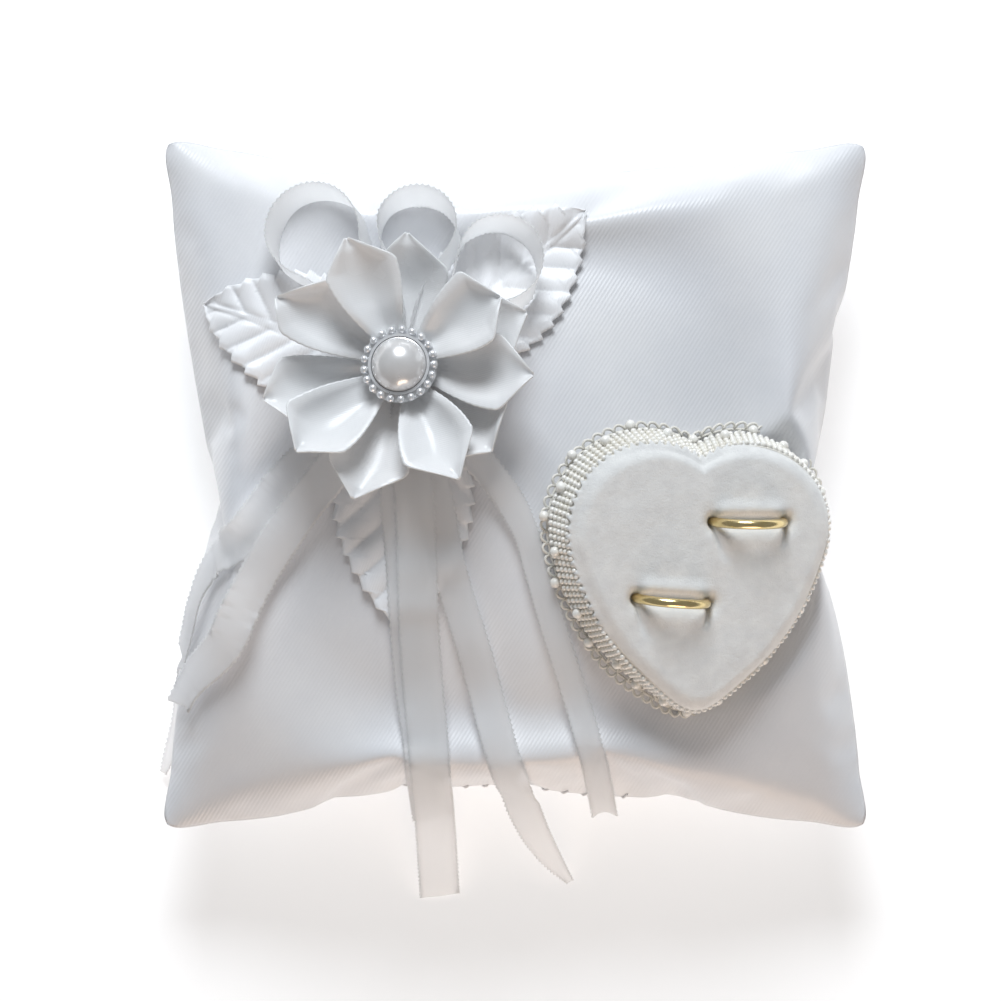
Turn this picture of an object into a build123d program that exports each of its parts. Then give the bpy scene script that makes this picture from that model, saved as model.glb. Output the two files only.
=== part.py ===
from build123d import *
import math
import os

# Ring bearer pillow, lying on its back with the decorated face up.
# Units are millimetres. The origin is the centre of the resting patch on the back,
# +Z points out of the decorated face, +Y towards the flower end and +X towards the heart side.

os.makedirs("parts", exist_ok=True)

# ---- driving dimensions -------------------------------------------------------------------

# cushion
CUSHION_WIDTH = 173.0
CUSHION_DEPTH = 168.0
SIDE_PULL_X = 0.12
SIDE_PULL_Y = 0.09
SEAM_HEIGHT = 24.0
FRONT_RISE = 30.0
BACK_FLAT_FRACTION = 0.9
COVER_THICKNESS = 0.5
FILLING_INSET = 1.5
SEAM_ALLOWANCE = 6.0
SEAM_FLANGE = 1.0
FRONT_LEVELS = [0.0, 0.2, 0.4, 0.58, 0.74, 0.86, 0.94, 0.99]
BACK_LEVELS = [0.0, 0.2, 0.4, 0.58, 0.74, 0.84, BACK_FLAT_FRACTION]
POINTS_PER_SIDE = 8
CLOSING_STITCHES = 12
STITCH_PITCH = 5.0
STITCH_DIAMETER = 0.6

# flower
FLOWER_CENTRE = (-27.0, 28.0)
GLUE_RADIUS = 5.5
DISC_BOTTOM = 1.0
DISC_TOP = 2.2
DISC_RADIUS = 16.0
CORE_RADIUS = 5.0
CORE_TOP = 11.7
BINDING_RADIUS = 8.5
BINDING_TOP = 3.7
PETAL_BOWL_RADIUS = 75.0
PETAL_THICKNESS = 0.9
PETAL_TIER_HEIGHTS = [4.0, 7.0, 10.0]
PETAL_TIER_ANGLES = [[22, 85, 194, 253, 323], [142, 215, 297, 355], [110, 40]]
SETTING_RADIUS = 9.4
SETTING_THICKNESS = 0.8
BEZEL_RADIUS = 7.7
BEZEL_HEIGHT = 1.4
PEARL_RADIUS = 7.0
PEARL_HEIGHT = 6.4
SETTING_BEADS = 21
BEAD_RADIUS = 1.0
BEAD_CIRCLE = 8.75

# leaves
LEAF_THICKNESS = 0.7
LEAF_TEETH = 13
LEAF_TOOTH = 1.3
LEAVES = {
    "leaf_left": (161.0, 51.0, 16.0),
    "leaf_upper_right": (42.0, 58.0, 16.0),
    "leaf_bottom": (-91.0, 62.0, 17.0),
}
LEAF_ROOT = 6.5

# ribbon
RIBBON_THICKNESS = 0.5
LOOP_WIDTH = 10.0
LOOP_HEIGHT = 3.2
LOOP_LEAN = 25.0
LOOPS = {
    "ribbon_loop_left": ((-49.0, 61.0), 11.5),
    "ribbon_loop_middle": ((-24.5, 63.0), 8.5),
    "ribbon_loop_right": ((-4.0, 54.0), 10.5),
}
ROOT_STRIP_LENGTH = 21.5
ROOT_GATHER = 8.0
ROOT_GATHERED_WIDTH = 4.0
ROOT_STRIP_HEIGHT = 2.4
TAIL_WIDTH = 9.0
TAIL_ROOTS = {
    "tail_root_left": (-136.0, 9.0),
    "tail_root_centre": (-88.0, 9.0),
    "tail_root_right": (-49.0, 7.0),
}

# heart ring holder
HEART_CENTRE = (43.5, -23.5)
HEART_SINK = 3.0
HEART_SEAT_GROW = 6.5
LOBE_CENTRE = (12.2, 13.2)
LOBE_RADIUS = 19.2
LOBE_END_ANGLE = -15.0
SIDE_RADIUS = 64.0
TIP_RADIUS = 6.0
BOARD_THICKNESS = 1.5
FOAM_TOP = 13.5
FELT_TOP = 14.5
BAND_THICKNESS = 0.8
STRAND_ROWS = 5
STRAND_SIZE = 1.6
STRAND_TOP = 13.0
STRAND_PITCH = 1.62
BRAID_TOP = 13.2
BRAID_BOTTOM = 4.4
BRAID_FLARE = 0.36
TAPE_THICKNESS = 0.4
LACE_GROW = 6.3
LACE_BOTTOM = 0.8
LACE_THICKNESS = 0.6
LARGE_PEARLS = 26
LARGE_PEARL_RADIUS = 1.5
LARGE_PEARL_HEIGHT = 3.1
LARGE_PEARL_GROW = 5.0

# rings
RING_RADIUS = 10.0
RING_BAND = 1.5
RING_WIDTH = 2.4
RING_SHOULDER = 0.5
RING_SEAT = 12.2
SLIT_CLEARANCE = 0.35
RINGS = {
    "ring_upper": (12.1, 15.2, 0.0),
    "ring_lower": (-7.2, -4.4, -4.0),
}

# ---- cushion surface ----------------------------------------------------------------------

def level_point(inset, level, angle):
    """Plan position at an angle on the contour where the crown has the given level."""
    cross = (math.cos(angle) * math.sin(angle)) ** 2
    rest = 1.0 - level
    if cross < 1e-9:
        radius_squared = rest
    else:
        radius_squared = (1.0 - math.sqrt(max(0.0, 1.0 - 4.0 * cross * rest))) / (2.0 * cross)
    u = math.sqrt(radius_squared) * math.cos(angle)
    v = math.sqrt(radius_squared) * math.sin(angle)
    x = (CUSHION_WIDTH / 2 - inset) * u * (1.0 - SIDE_PULL_X * (1.0 - v * v))
    y = (CUSHION_DEPTH / 2 - inset) * v * (1.0 - SIDE_PULL_Y * (1.0 - u * u))
    return x, y


def level_wire(inset, fraction, z):
    """Closed contour of the cushion at one height, as four splines from corner to corner."""
    sides = []
    for side in range(4):
        start = math.pi / 4 + side * math.pi / 2
        points = []
        for step in range(POINTS_PER_SIDE + 1):
            x, y = level_point(inset, fraction ** 2, start + step * math.pi / 2 / POINTS_PER_SIDE)
            points.append((x, y, z))
        sides.append(Edge.make_spline(points))
    return Wire(sides)


def front_half(inset):
    rise = FRONT_RISE - inset
    return Solid.make_loft([level_wire(inset, f, SEAM_HEIGHT + rise * f) for f in FRONT_LEVELS])


def back_half(inset):
    drop = (SEAM_HEIGHT - inset) / BACK_FLAT_FRACTION
    return Solid.make_loft([level_wire(inset, f, SEAM_HEIGHT - drop * f) for f in BACK_LEVELS])


def fibre_mass():
    """Filling with rounded sides, a little smaller than the inside of the covers."""
    rise = FRONT_RISE - FILLING_INSET
    drop = (SEAM_HEIGHT - FILLING_INSET) / BACK_FLAT_FRACTION
    lower = [level_wire(FILLING_INSET, f, SEAM_HEIGHT - drop * f) for f in reversed(BACK_LEVELS[1:])]
    upper = [level_wire(FILLING_INSET, f, SEAM_HEIGHT + rise * f) for f in FRONT_LEVELS[1:]]
    return Solid.make_loft(lower + upper)


def face_height(x, y):
    """Height of the decorated face above the origin plane, from the crown formula."""
    u = x / (CUSHION_WIDTH / 2)
    v = y / (CUSHION_DEPTH / 2)
    for _ in range(12):
        u = x / (CUSHION_WIDTH / 2 * (1.0 - SIDE_PULL_X * (1.0 - v * v)))
        v = y / (CUSHION_DEPTH / 2 * (1.0 - SIDE_PULL_Y * (1.0 - u * u)))
    crown = max(0.0, 1.0 - u * u) * max(0.0, 1.0 - v * v)
    return SEAM_HEIGHT + FRONT_RISE * math.sqrt(crown)


def face_normal(x, y):
    step = 0.5
    slope_x = (face_height(x + step, y) - face_height(x - step, y)) / (2 * step)
    slope_y = (face_height(x, y + step) - face_height(x, y - step)) / (2 * step)
    return Vector(-slope_x, -slope_y, 1.0).normalized()


def face_plane(x, y, sink=0.0):
    """Plane touching the decorated face, X kept level with the cushion's X, sunk by a distance."""
    normal = face_normal(x, y)
    origin = Vector(x, y, face_height(x, y)) - normal * sink
    across = Vector(0, 1, 0).cross(normal)
    return Plane(origin=origin, x_dir=across, z_dir=normal)


def prism(face, bottom, top):
    return Pos(0, 0, bottom) * extrude(face, top - bottom, dir=(0, 0, 1))


front_outer = front_half(0.0)
front_inner = front_half(COVER_THICKNESS)
back_outer = back_half(0.0)
back_inner = back_half(COVER_THICKNESS)

flower_plane = face_plane(*FLOWER_CENTRE)
heart_plane = face_plane(*HEART_CENTRE, sink=HEART_SINK)


# ---- heart outline ------------------------------------------------------------------------

def heart_wire(grow, z=0.0):
    """Heart outline of six arcs, grown outwards by an amount."""
    lobe = LOBE_RADIUS + grow
    side = SIDE_RADIUS + grow
    tip = TIP_RADIUS + grow
    side_x = LOBE_CENTRE[0] - (SIDE_RADIUS - LOBE_RADIUS) * math.cos(math.radians(LOBE_END_ANGLE))
    side_y = LOBE_CENTRE[1] - (SIDE_RADIUS - LOBE_RADIUS) * math.sin(math.radians(LOBE_END_ANGLE))
    tip_angle = -math.degrees(math.acos(-side_x / (SIDE_RADIUS - TIP_RADIUS)))
    tip_y = side_y + (SIDE_RADIUS - TIP_RADIUS) * math.sin(math.radians(tip_angle))
    notch_angle = math.degrees(math.acos(-LOBE_CENTRE[0] / lobe))

    def on_arc(centre, radius, angle):
        angle = math.radians(angle)
        return Vector(centre[0] + radius * math.cos(angle), centre[1] + radius * math.sin(angle), z)

    def half(mirror):
        arcs = []
        spans = [
            (LOBE_CENTRE, lobe, notch_angle, LOBE_END_ANGLE),
            ((side_x, side_y), side, LOBE_END_ANGLE, tip_angle),
            ((0.0, tip_y), tip, tip_angle, -90.0),
        ]
        for centre, radius, first, last in spans:
            points = [on_arc(centre, radius, first + (last - first) * t) for t in (0, 0.5, 1)]
            points = [Vector(mirror * p.X, p.Y, p.Z) for p in points]
            arcs.append(Edge.make_three_point_arc(*points))
        return arcs

    left = half(-1)
    return Wire(half(1) + [edge for edge in reversed(left)])


def heart_face(grow):
    return Face(heart_wire(grow))


def heart_ring(outer_grow, inner_grow, bottom, top):
    """Closed band that follows the heart outline."""
    return prism(heart_face(outer_grow), bottom, top) - prism(heart_face(inner_grow), bottom, top)


# ---- cushion parts ------------------------------------------------------------------------

def heart_seat(inset):
    """Room pressed into the face where the heart's base, braid and lace rest."""
    return heart_plane * prism(heart_face(HEART_SEAT_GROW + inset), -inset, 30.0)


def make_cushion():
    front_cover = (front_outer - heart_seat(0.0)) - (front_inner - heart_seat(COVER_THICKNESS))
    back_cover = back_outer - back_inner
    flange_outline = Face(level_wire(COVER_THICKNESS, 0.0, SEAM_HEIGHT - SEAM_FLANGE / 2))
    flange_inside = Face(level_wire(SEAM_ALLOWANCE, 0.0, SEAM_HEIGHT - SEAM_FLANGE / 2))
    flange = extrude(flange_outline - flange_inside, SEAM_FLANGE, dir=(0, 0, 1))
    flange = flange & (front_inner + back_inner)
    filling = fibre_mass() - heart_seat(FILLING_INSET) - flange
    return {
        "front_cover": front_cover,
        "back_cover": back_cover,
        "seam_allowance": flange,
        "fibre_filling": filling,
        "closing_stitches": make_closing_stitches(),
    }


def make_closing_stitches():
    """Short hand stitches across the seam on the lower side, where the cover was closed."""
    stitches = []
    for index in range(CLOSING_STITCHES):
        x = (index - (CLOSING_STITCHES - 1) / 2) * STITCH_PITCH
        u = x / (CUSHION_WIDTH / 2)
        y = -CUSHION_DEPTH / 2 * (1.0 - SIDE_PULL_Y * (1.0 - u * u))
        place = Pos(x, y - STITCH_DIAMETER / 2, SEAM_HEIGHT) * Rot(0, 25, 0)
        stitches.append(place * Cylinder(STITCH_DIAMETER / 2, 3.0))
    return Compound(children=stitches)


# ---- flower parts -------------------------------------------------------------------------

def disc(radius, bottom, top):
    return Pos(0, 0, bottom) * Cylinder(radius, top - bottom, align=(Align.CENTER, Align.CENTER, Align.MIN))


def petal_outline():
    """One folded petal seen from above, pointing along +X, with a blunt folded tip."""
    upper = [(4.0, 1.8), (10.0, 4.9), (15.0, 7.4), (22.0, 10.6), (28.0, 10.4)]
    lower = [(x, -y) for x, y in reversed(upper)]
    side_up = Edge.make_spline([Vector(*p) for p in upper])
    side_down = Edge.make_spline([Vector(*p) for p in lower])
    tip = Wire.make_polygon([upper[-1], (33.0, 3.5), (33.0, -3.5), lower[0]], close=False)
    root = Edge.make_line(lower[-1], upper[0])
    return Face(Wire([side_up] + list(tip.edges()) + [side_down, root]))


def bowl_shell(bottom, thickness):
    """Shallow bowl that the petals of one tier follow."""
    centre = bottom + PETAL_BOWL_RADIUS
    bowl = Sphere(PETAL_BOWL_RADIUS) - Sphere(PETAL_BOWL_RADIUS - thickness)
    return Pos(0, 0, centre) * bowl


def make_petals():
    petals = {}
    core = disc(CORE_RADIUS, 0.0, 30.0)
    for tier, (height, angles) in enumerate(zip(PETAL_TIER_HEIGHTS, PETAL_TIER_ANGLES)):
        bowl = bowl_shell(height, PETAL_THICKNESS)
        for angle in angles:
            blank = Rot(0, 0, angle) * prism(petal_outline(), 0.0, 30.0)
            petal = (blank & bowl) - core
            petals[f"petal_{tier + 1}_{angle:03d}"] = flower_plane * petal
    return petals


def make_flower_centre():
    glue = flower_plane * disc(GLUE_RADIUS, -5.0, DISC_BOTTOM) - front_outer
    base = CORE_TOP
    seat = base + SETTING_THICKNESS
    setting = disc(SETTING_RADIUS, base, seat)
    setting += disc(BEZEL_RADIUS, seat, seat + BEZEL_HEIGHT) - disc(PEARL_RADIUS, seat, seat + BEZEL_HEIGHT)
    dome = Pos(0, 0, seat) * scale(Sphere(PEARL_RADIUS), (1, 1, PEARL_HEIGHT / PEARL_RADIUS))
    pearl = dome & disc(PEARL_RADIUS, seat, seat + PEARL_HEIGHT)
    beads = []
    for index in range(SETTING_BEADS):
        turn = Rot(0, 0, 360.0 * index / SETTING_BEADS)
        beads.append(flower_plane * turn * Pos(BEAD_CIRCLE, 0, seat + BEAD_RADIUS) * Sphere(BEAD_RADIUS))
    return {
        "flower_glue": glue,
        "flower_backing": flower_plane * disc(DISC_RADIUS, DISC_BOTTOM, DISC_TOP),
        "flower_core": flower_plane * disc(CORE_RADIUS, DISC_TOP, CORE_TOP),
        "ribbon_binding": flower_plane * (
            disc(BINDING_RADIUS, DISC_TOP, BINDING_TOP) - disc(CORE_RADIUS, DISC_TOP, BINDING_TOP)
        ),
        "pearl_setting": flower_plane * setting,
        "pearl_cabochon": flower_plane * pearl,
        "setting_beads": Compound(children=beads),
    }


def leaf_outline(length, half_width):
    """Pointed oval leaf along +X with saw teeth on both edges."""
    upper = []
    for index in range(2 * LEAF_TEETH + 1):
        t = index / (2 * LEAF_TEETH)
        x = LEAF_ROOT + (length - LEAF_ROOT) * t
        swell = half_width * math.sin(math.pi * min(1.0, 0.12 + 0.88 * t)) ** 0.8
        tooth = LEAF_TOOTH if index % 2 and 0 < index < 2 * LEAF_TEETH else 0.0
        upper.append((x + 0.5 * tooth, max(0.4, swell) + tooth))
    lower = [(x, -y) for x, y in reversed(upper)]
    return Face(Wire.make_polygon(upper + [(length + 1.5, 0.0)] + lower, close=True))


def make_leaves():
    raised = Pos(0, 0, LEAF_THICKNESS) * front_outer
    leaves = {}
    for name, (angle, length, half_width) in LEAVES.items():
        place = Pos(FLOWER_CENTRE[0], FLOWER_CENTRE[1], 0) * Rot(0, 0, angle)
        blank = place * prism(leaf_outline(length, half_width), 0.0, 100.0)
        leaves[name] = (blank & raised) - front_outer
    return leaves


def loop_stations(centre, radius):
    """Teardrop hoop in the flower's own plane: narrow neck out, round the bulb, neck back."""
    ahead = Vector(centre[0] - FLOWER_CENTRE[0], centre[1] - FLOWER_CENTRE[1], 0)
    reach = ahead.length
    turn = Rot(0, 0, math.degrees(math.atan2(ahead.Y, ahead.X)))
    neck = [(BINDING_RADIUS + 0.3, 0.5, 3.1, 1.0), (12.5, 1.0, 3.5, 1.6), (16.5, 1.8, 4.0, 2.4)]
    neck.append((21.0, 3.2, 3.8, 4.0))
    neck.append((reach - 0.95 * radius, 0.6 * radius, LOOP_HEIGHT, 0.75 * LOOP_WIDTH))
    bulb = []
    for angle in (100, 65, 32, 0, -32, -65, -100):
        along = reach + radius * math.cos(math.radians(angle))
        aside = radius * math.sin(math.radians(angle))
        bulb.append((along, aside, LOOP_HEIGHT, LOOP_WIDTH))
    back = [(x, -y, z, width) for x, y, z, width in reversed(neck)]
    lean = Vector(math.sin(math.radians(LOOP_LEAN)), 0, math.cos(math.radians(LOOP_LEAN)))
    stations = []
    for x, y, z, width in neck + bulb + back:
        stations.append(((flower_plane * turn * Pos(x, y, z)).position, None, width))
    tip = (flower_plane * turn * Pos(lean)).position - flower_plane.origin
    return stations, tip


def make_loops():
    """Ribbon hoops standing on edge under the petals, leaning away from the flower."""
    loops = {}
    for name, (centre, radius) in LOOPS.items():
        stations, lean = loop_stations(centre, radius)
        loops[name] = ribbon(stations, lean)
    return loops


# ---- ribbon tails -------------------------------------------------------------------------

def on_face(x, y, lift, width=TAIL_WIDTH):
    """Station of a ribbon lying a given height above the decorated face."""
    return Vector(x, y, face_height(x, y) + lift), face_normal(x, y), width


def hanging(x, y, z, facing, width=TAIL_WIDTH):
    """Station of a ribbon past the cushion's edge, with the way its upper side faces."""
    return Vector(x, y, z), Vector(*facing).normalized(), width


TAILS = {
    "tail_left_outer": [
        on_face(-52.5, 5.5, 2.5),
        on_face(-60.0, -2.5, 1.8),
        on_face(-67.5, -12.5, 2.0),
        hanging(-74.0, -23.0, 36.5, (-0.8, -0.1, 0.6)),
        hanging(-80.3, -36.0, 29.5, (-0.9, -0.1, 0.45)),
        hanging(-84.0, -50.0, 18.0, (-0.95, -0.2, 0.25), 8.0),
        hanging(-85.5, -62.0, 8.5, (-0.9, -0.3, 0.3), 6.0),
        hanging(-89.0, -73.0, 2.0, (-0.6, -0.4, 0.7), 1.5),
    ],
    "tail_left_inner": [
        on_face(-46.0, 3.0, 5.0),
        on_face(-54.0, -7.0, 4.6),
        on_face(-62.0, -19.0, 4.0),
        on_face(-68.0, -30.0, 3.4),
        on_face(-72.5, -40.0, 3.8),
        hanging(-77.5, -48.5, 34.0, (-0.7, -0.2, 0.7)),
        hanging(-80.5, -55.0, 28.5, (-0.8, -0.3, 0.5)),
    ],
    "tail_centre_front": [
        on_face(-25.0, -3.0, 5.6),
        on_face(-24.4, -17.0, 3.0),
        on_face(-24.0, -33.0, 2.9),
        on_face(-23.0, -49.0, 2.9),
        on_face(-21.8, -62.0, 3.1),
        on_face(-21.2, -70.5, 3.8),
        hanging(-20.6, -78.0, 33.0, (0, -0.7, 0.7)),
        hanging(-20.0, -86.0, 21.0, (0, -0.9, 0.4)),
        hanging(-19.5, -95.0, 8.5, (0, -0.85, 0.5)),
        hanging(-19.0, -104.0, 1.6, (0, -0.45, 0.9)),
    ],
    "tail_centre_back": [
        on_face(-28.6, -3.0, 4.4),
        on_face(-27.2, -17.0, 1.8),
        on_face(-26.3, -33.0, 1.7),
        on_face(-25.0, -49.0, 1.7),
        on_face(-23.2, -62.0, 1.8),
        on_face(-22.4, -70.0, 2.0),
        hanging(-21.5, -77.3, 30.5, (0, -0.75, 0.65)),
        hanging(-20.8, -83.0, 23.0, (0, -0.9, 0.4)),
    ],
    "tail_centre_right": [
        on_face(-19.6, -3.0, 3.6, 8.0),
        on_face(-17.2, -17.0, 1.8, 8.0),
        on_face(-14.0, -29.0, 1.8, 8.0),
        on_face(-10.5, -40.0, 2.0, 8.0),
        on_face(-7.0, -53.0, 2.0, 8.0),
        on_face(-3.8, -65.0, 2.3, 8.0),
        on_face(-1.6, -72.0, 3.2, 8.0),
        hanging(1.5, -79.5, 31.0, (0.1, -0.75, 0.65), 8.0),
        hanging(5.0, -87.5, 20.0, (0.2, -0.85, 0.45), 7.0),
        hanging(9.2, -94.5, 9.5, (0.2, -0.8, 0.5), 5.0),
        hanging(14.0, -100.5, 2.0, (0.2, -0.5, 0.85), 1.5),
    ],
    "tail_right": [
        on_face(-5.6, 2.2, 4.2, 7.0),
        on_face(-1.0, -4.6, 2.6, 7.0),
        on_face(2.8, -12.0, 2.1, 6.0),
        on_face(5.4, -21.0, 2.1, 6.0),
        on_face(8.0, -30.0, 2.1, 6.0),
        on_face(11.3, -41.0, 2.1, 6.0),
        on_face(15.5, -54.0, 2.1, 6.0),
        on_face(18.6, -65.0, 2.5, 6.0),
        on_face(20.2, -71.5, 3.4, 6.0),
        hanging(21.5, -77.5, 32.5, (0.05, -0.7, 0.7), 6.0),
        hanging(22.4, -82.0, 26.0, (0.05, -0.85, 0.5), 6.0),
    ],
}


def ribbon(stations, lean=None):
    """Thin strip lofted through cross-sections square to its path.

    A strip standing on edge has a lean, the way its width points, in place of a facing.
    """
    sections = []
    last = len(stations) - 1
    for index, (point, facing, width) in enumerate(stations):
        ahead = stations[min(index + 1, last)][0] - stations[max(index - 1, 0)][0]
        if lean is not None:
            facing = lean.cross(ahead)
        across = ahead.cross(facing).normalized() * (width / 2)
        up = across.cross(ahead).normalized() * (RIBBON_THICKNESS / 2)
        corners = [point + across + up, point - across + up, point - across - up, point + across - up]
        sections.append(Wire.make_polygon(corners, close=True))
    return Solid.make_loft(sections)


def make_tails():
    return {name: ribbon(stations) for name, stations in TAILS.items()}


def make_tail_roots():
    """Fixed starts of the tails, from the binding under the petals to where the tails can lift."""
    roots = {}
    binding = disc(BINDING_RADIUS, DISC_TOP, BINDING_TOP)
    start = BINDING_RADIUS - 1.5
    spread = start + ROOT_GATHER
    end = start + ROOT_STRIP_LENGTH
    for name, (angle, width) in TAIL_ROOTS.items():
        wide = width / 2
        narrow = ROOT_GATHERED_WIDTH / 2
        upper = [(start, narrow), (spread, wide), (end, wide)]
        lower = [(x, -y) for x, y in reversed(upper)]
        blank = Face(Wire.make_polygon(upper + lower, close=True))
        strip = prism(blank, ROOT_STRIP_HEIGHT, ROOT_STRIP_HEIGHT + RIBBON_THICKNESS)
        roots[name] = flower_plane * Rot(0, 0, angle) * (strip - binding)
    return roots


# ---- heart ring holder --------------------------------------------------------------------

def ring_place(name):
    x, y, turn = RINGS[name]
    return Pos(x, y, RING_SEAT) * Rot(0, 0, turn)


def make_ring(name):
    """Wedding band with a flat inside and a rounded outside."""
    inside = RING_RADIUS - RING_BAND
    shoulder = inside + RING_SHOULDER
    half = RING_WIDTH / 2
    flat = Wire.make_polygon([(shoulder, half), (inside, half), (inside, -half), (shoulder, -half)], close=False)
    dome = Edge.make_three_point_arc((shoulder, -half), (RING_RADIUS, 0), (shoulder, half))
    band = revolve(Face(Wire(list(flat.edges()) + [dome])), Axis.Y)
    return heart_plane * ring_place(name) * band


def ring_slit(name):
    length = 2 * (RING_RADIUS + SLIT_CLEARANCE)
    width = RING_WIDTH + 2 * SLIT_CLEARANCE
    depth = RING_RADIUS + SLIT_CLEARANCE
    slot = Box(length, width, depth + 20.0, align=(Align.CENTER, Align.CENTER, Align.MIN))
    return ring_place(name) * Pos(0, 0, -depth) * slot


def braid_grow(z):
    """How far the braid's outer side stands out from the heart outline at one height."""
    return BAND_THICKNESS + TAPE_THICKNESS + BRAID_FLARE * (BRAID_TOP - z)


def braid_wall(inset):
    bottom = heart_wire(braid_grow(BRAID_BOTTOM) - inset, BRAID_BOTTOM)
    top = heart_wire(braid_grow(BRAID_TOP) - inset, BRAID_TOP)
    return Solid.make_loft([bottom, top], ruled=True)


def make_trim():
    """Beaded braid that flares round the heart: tape, pearl strands, large pearls and lace."""
    parts = {"braid_tape": heart_plane * (braid_wall(0.0) - braid_wall(TAPE_THICKNESS))}
    for row in range(STRAND_ROWS):
        top = STRAND_TOP - STRAND_PITCH * row
        bottom = top - STRAND_PITCH
        grow = braid_grow(bottom)
        strand = heart_ring(grow + STRAND_SIZE, grow, bottom, top)
        parts[f"pearl_strand_{row + 1}"] = heart_plane * strand
    path = heart_wire(LARGE_PEARL_GROW, LARGE_PEARL_HEIGHT)
    pearls = []
    for index in range(LARGE_PEARLS):
        point = path.position_at((index + 0.5) / LARGE_PEARLS)
        pearls.append(heart_plane * Pos(point) * Sphere(LARGE_PEARL_RADIUS))
    parts["large_pearls"] = Compound(children=pearls)
    lace = heart_ring(LACE_GROW, BAND_THICKNESS, LACE_BOTTOM, LACE_BOTTOM + LACE_THICKNESS)
    parts["lace_edging"] = heart_plane * lace
    return parts


def make_heart():
    slits = ring_slit("ring_upper") + ring_slit("ring_lower")
    foam = prism(heart_face(0.0), BOARD_THICKNESS, FOAM_TOP) - slits
    felt = prism(heart_face(BAND_THICKNESS), FOAM_TOP, FELT_TOP) - slits
    return {
        "heart_board": heart_plane * prism(heart_face(0.0), 0.0, BOARD_THICKNESS),
        "heart_foam": heart_plane * foam,
        "heart_felt": heart_plane * felt,
        "heart_side_band": heart_plane * heart_ring(BAND_THICKNESS, 0.0, 0.0, FOAM_TOP),
        "ring_upper": make_ring("ring_upper"),
        "ring_lower": make_ring("ring_lower"),
    }


# ---- all parts ----------------------------------------------------------------------------

parts = {}
parts.update(make_cushion())
parts.update(make_leaves())
parts.update(make_flower_centre())
parts.update(make_petals())
parts.update(make_loops())
parts.update(make_tail_roots())
parts.update(make_tails())
parts.update(make_heart())
parts.update(make_trim())

for node, shape in parts.items():
    export_step(shape, f"parts/{node}.step")
    print(f"{node:22s} volume {shape.volume:10.1f} mm3")
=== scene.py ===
import bpy
import math
from mathutils import Matrix, Vector, noise
from mathutils.bvhtree import BVHTree


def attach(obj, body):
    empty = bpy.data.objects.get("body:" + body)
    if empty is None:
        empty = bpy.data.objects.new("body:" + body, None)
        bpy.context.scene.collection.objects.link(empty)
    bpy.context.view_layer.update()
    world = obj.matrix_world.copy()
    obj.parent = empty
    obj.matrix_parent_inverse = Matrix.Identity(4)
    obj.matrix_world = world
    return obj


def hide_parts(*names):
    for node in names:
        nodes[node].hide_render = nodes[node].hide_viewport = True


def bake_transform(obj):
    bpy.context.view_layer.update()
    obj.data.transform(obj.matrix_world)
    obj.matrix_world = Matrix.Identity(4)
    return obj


# Ring bearer pillow, lying on its back. Metres, in the frame of the CAD model.
# Lengths written as N * MM repeat the dimensions of the CAD source, in millimetres.

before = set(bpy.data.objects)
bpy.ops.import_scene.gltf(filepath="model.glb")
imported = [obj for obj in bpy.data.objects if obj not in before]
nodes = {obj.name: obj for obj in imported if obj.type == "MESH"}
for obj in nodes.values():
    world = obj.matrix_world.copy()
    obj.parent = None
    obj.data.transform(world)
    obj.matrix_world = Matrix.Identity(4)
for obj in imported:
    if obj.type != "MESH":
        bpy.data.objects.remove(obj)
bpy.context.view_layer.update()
scene = bpy.context.scene
MM = 0.001

# ---- driving dimensions, as in the CAD source

CUSHION_WIDTH = 173.0 * MM
CUSHION_DEPTH = 168.0 * MM
SIDE_PULL_X = 0.12
SIDE_PULL_Y = 0.09
SEAM_HEIGHT = 24.0 * MM
FRONT_RISE = 30.0 * MM
BACK_DROP = 26.7 * MM

FLOWER_CENTRE = (-27.0 * MM, 28.0 * MM)
HEART_CENTRE = (43.5 * MM, -23.5 * MM)
HEART_SINK = 3.0 * MM


# ---- cushion formula, shared with the CAD source

def crown(x, y):
    u = x / (CUSHION_WIDTH / 2)
    v = y / (CUSHION_DEPTH / 2)
    for _ in range(12):
        u = x / (CUSHION_WIDTH / 2 * (1.0 - SIDE_PULL_X * (1.0 - min(1.0, v * v))))
        v = y / (CUSHION_DEPTH / 2 * (1.0 - SIDE_PULL_Y * (1.0 - min(1.0, u * u))))
    return max(0.0, 1.0 - u * u) * max(0.0, 1.0 - v * v)


def face_height(x, y):
    return SEAM_HEIGHT + FRONT_RISE * math.sqrt(crown(x, y))


def face_matrix(x, y, sink=0.0):
    """Matrix of the plane that touches the decorated face, with X kept level."""
    step = 0.5 * MM
    slope_x = (face_height(x + step, y) - face_height(x - step, y)) / (2 * step)
    slope_y = (face_height(x, y + step) - face_height(x, y - step)) / (2 * step)
    normal = Vector((-slope_x, -slope_y, 1.0)).normalized()
    across = Vector((0, 1, 0)).cross(normal).normalized()
    along = normal.cross(across)
    origin = Vector((x, y, face_height(x, y))) - normal * sink
    matrix = Matrix((across, along, normal)).transposed().to_4x4()
    matrix.translation = origin
    return matrix


FLOWER = face_matrix(*FLOWER_CENTRE)
HEART = face_matrix(*HEART_CENTRE, sink=HEART_SINK)
HEART_INVERSE = HEART.inverted()


def smoothstep(low, high, value):
    t = max(0.0, min(1.0, (value - low) / (high - low)))
    return t * t * (3 - 2 * t)


# ---- mesh helpers

THREAD_SIDES = 6


def new_object(name, verts, faces, material, smooth=True):
    mesh = bpy.data.meshes.new(name)
    mesh.from_pydata([tuple(v) for v in verts], [], faces)
    mesh.validate()
    mesh.update()
    for polygon in mesh.polygons:
        polygon.use_smooth = smooth
    mesh.materials.append(material)
    obj = bpy.data.objects.new(name, mesh)
    scene.collection.objects.link(obj)
    return obj


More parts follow.
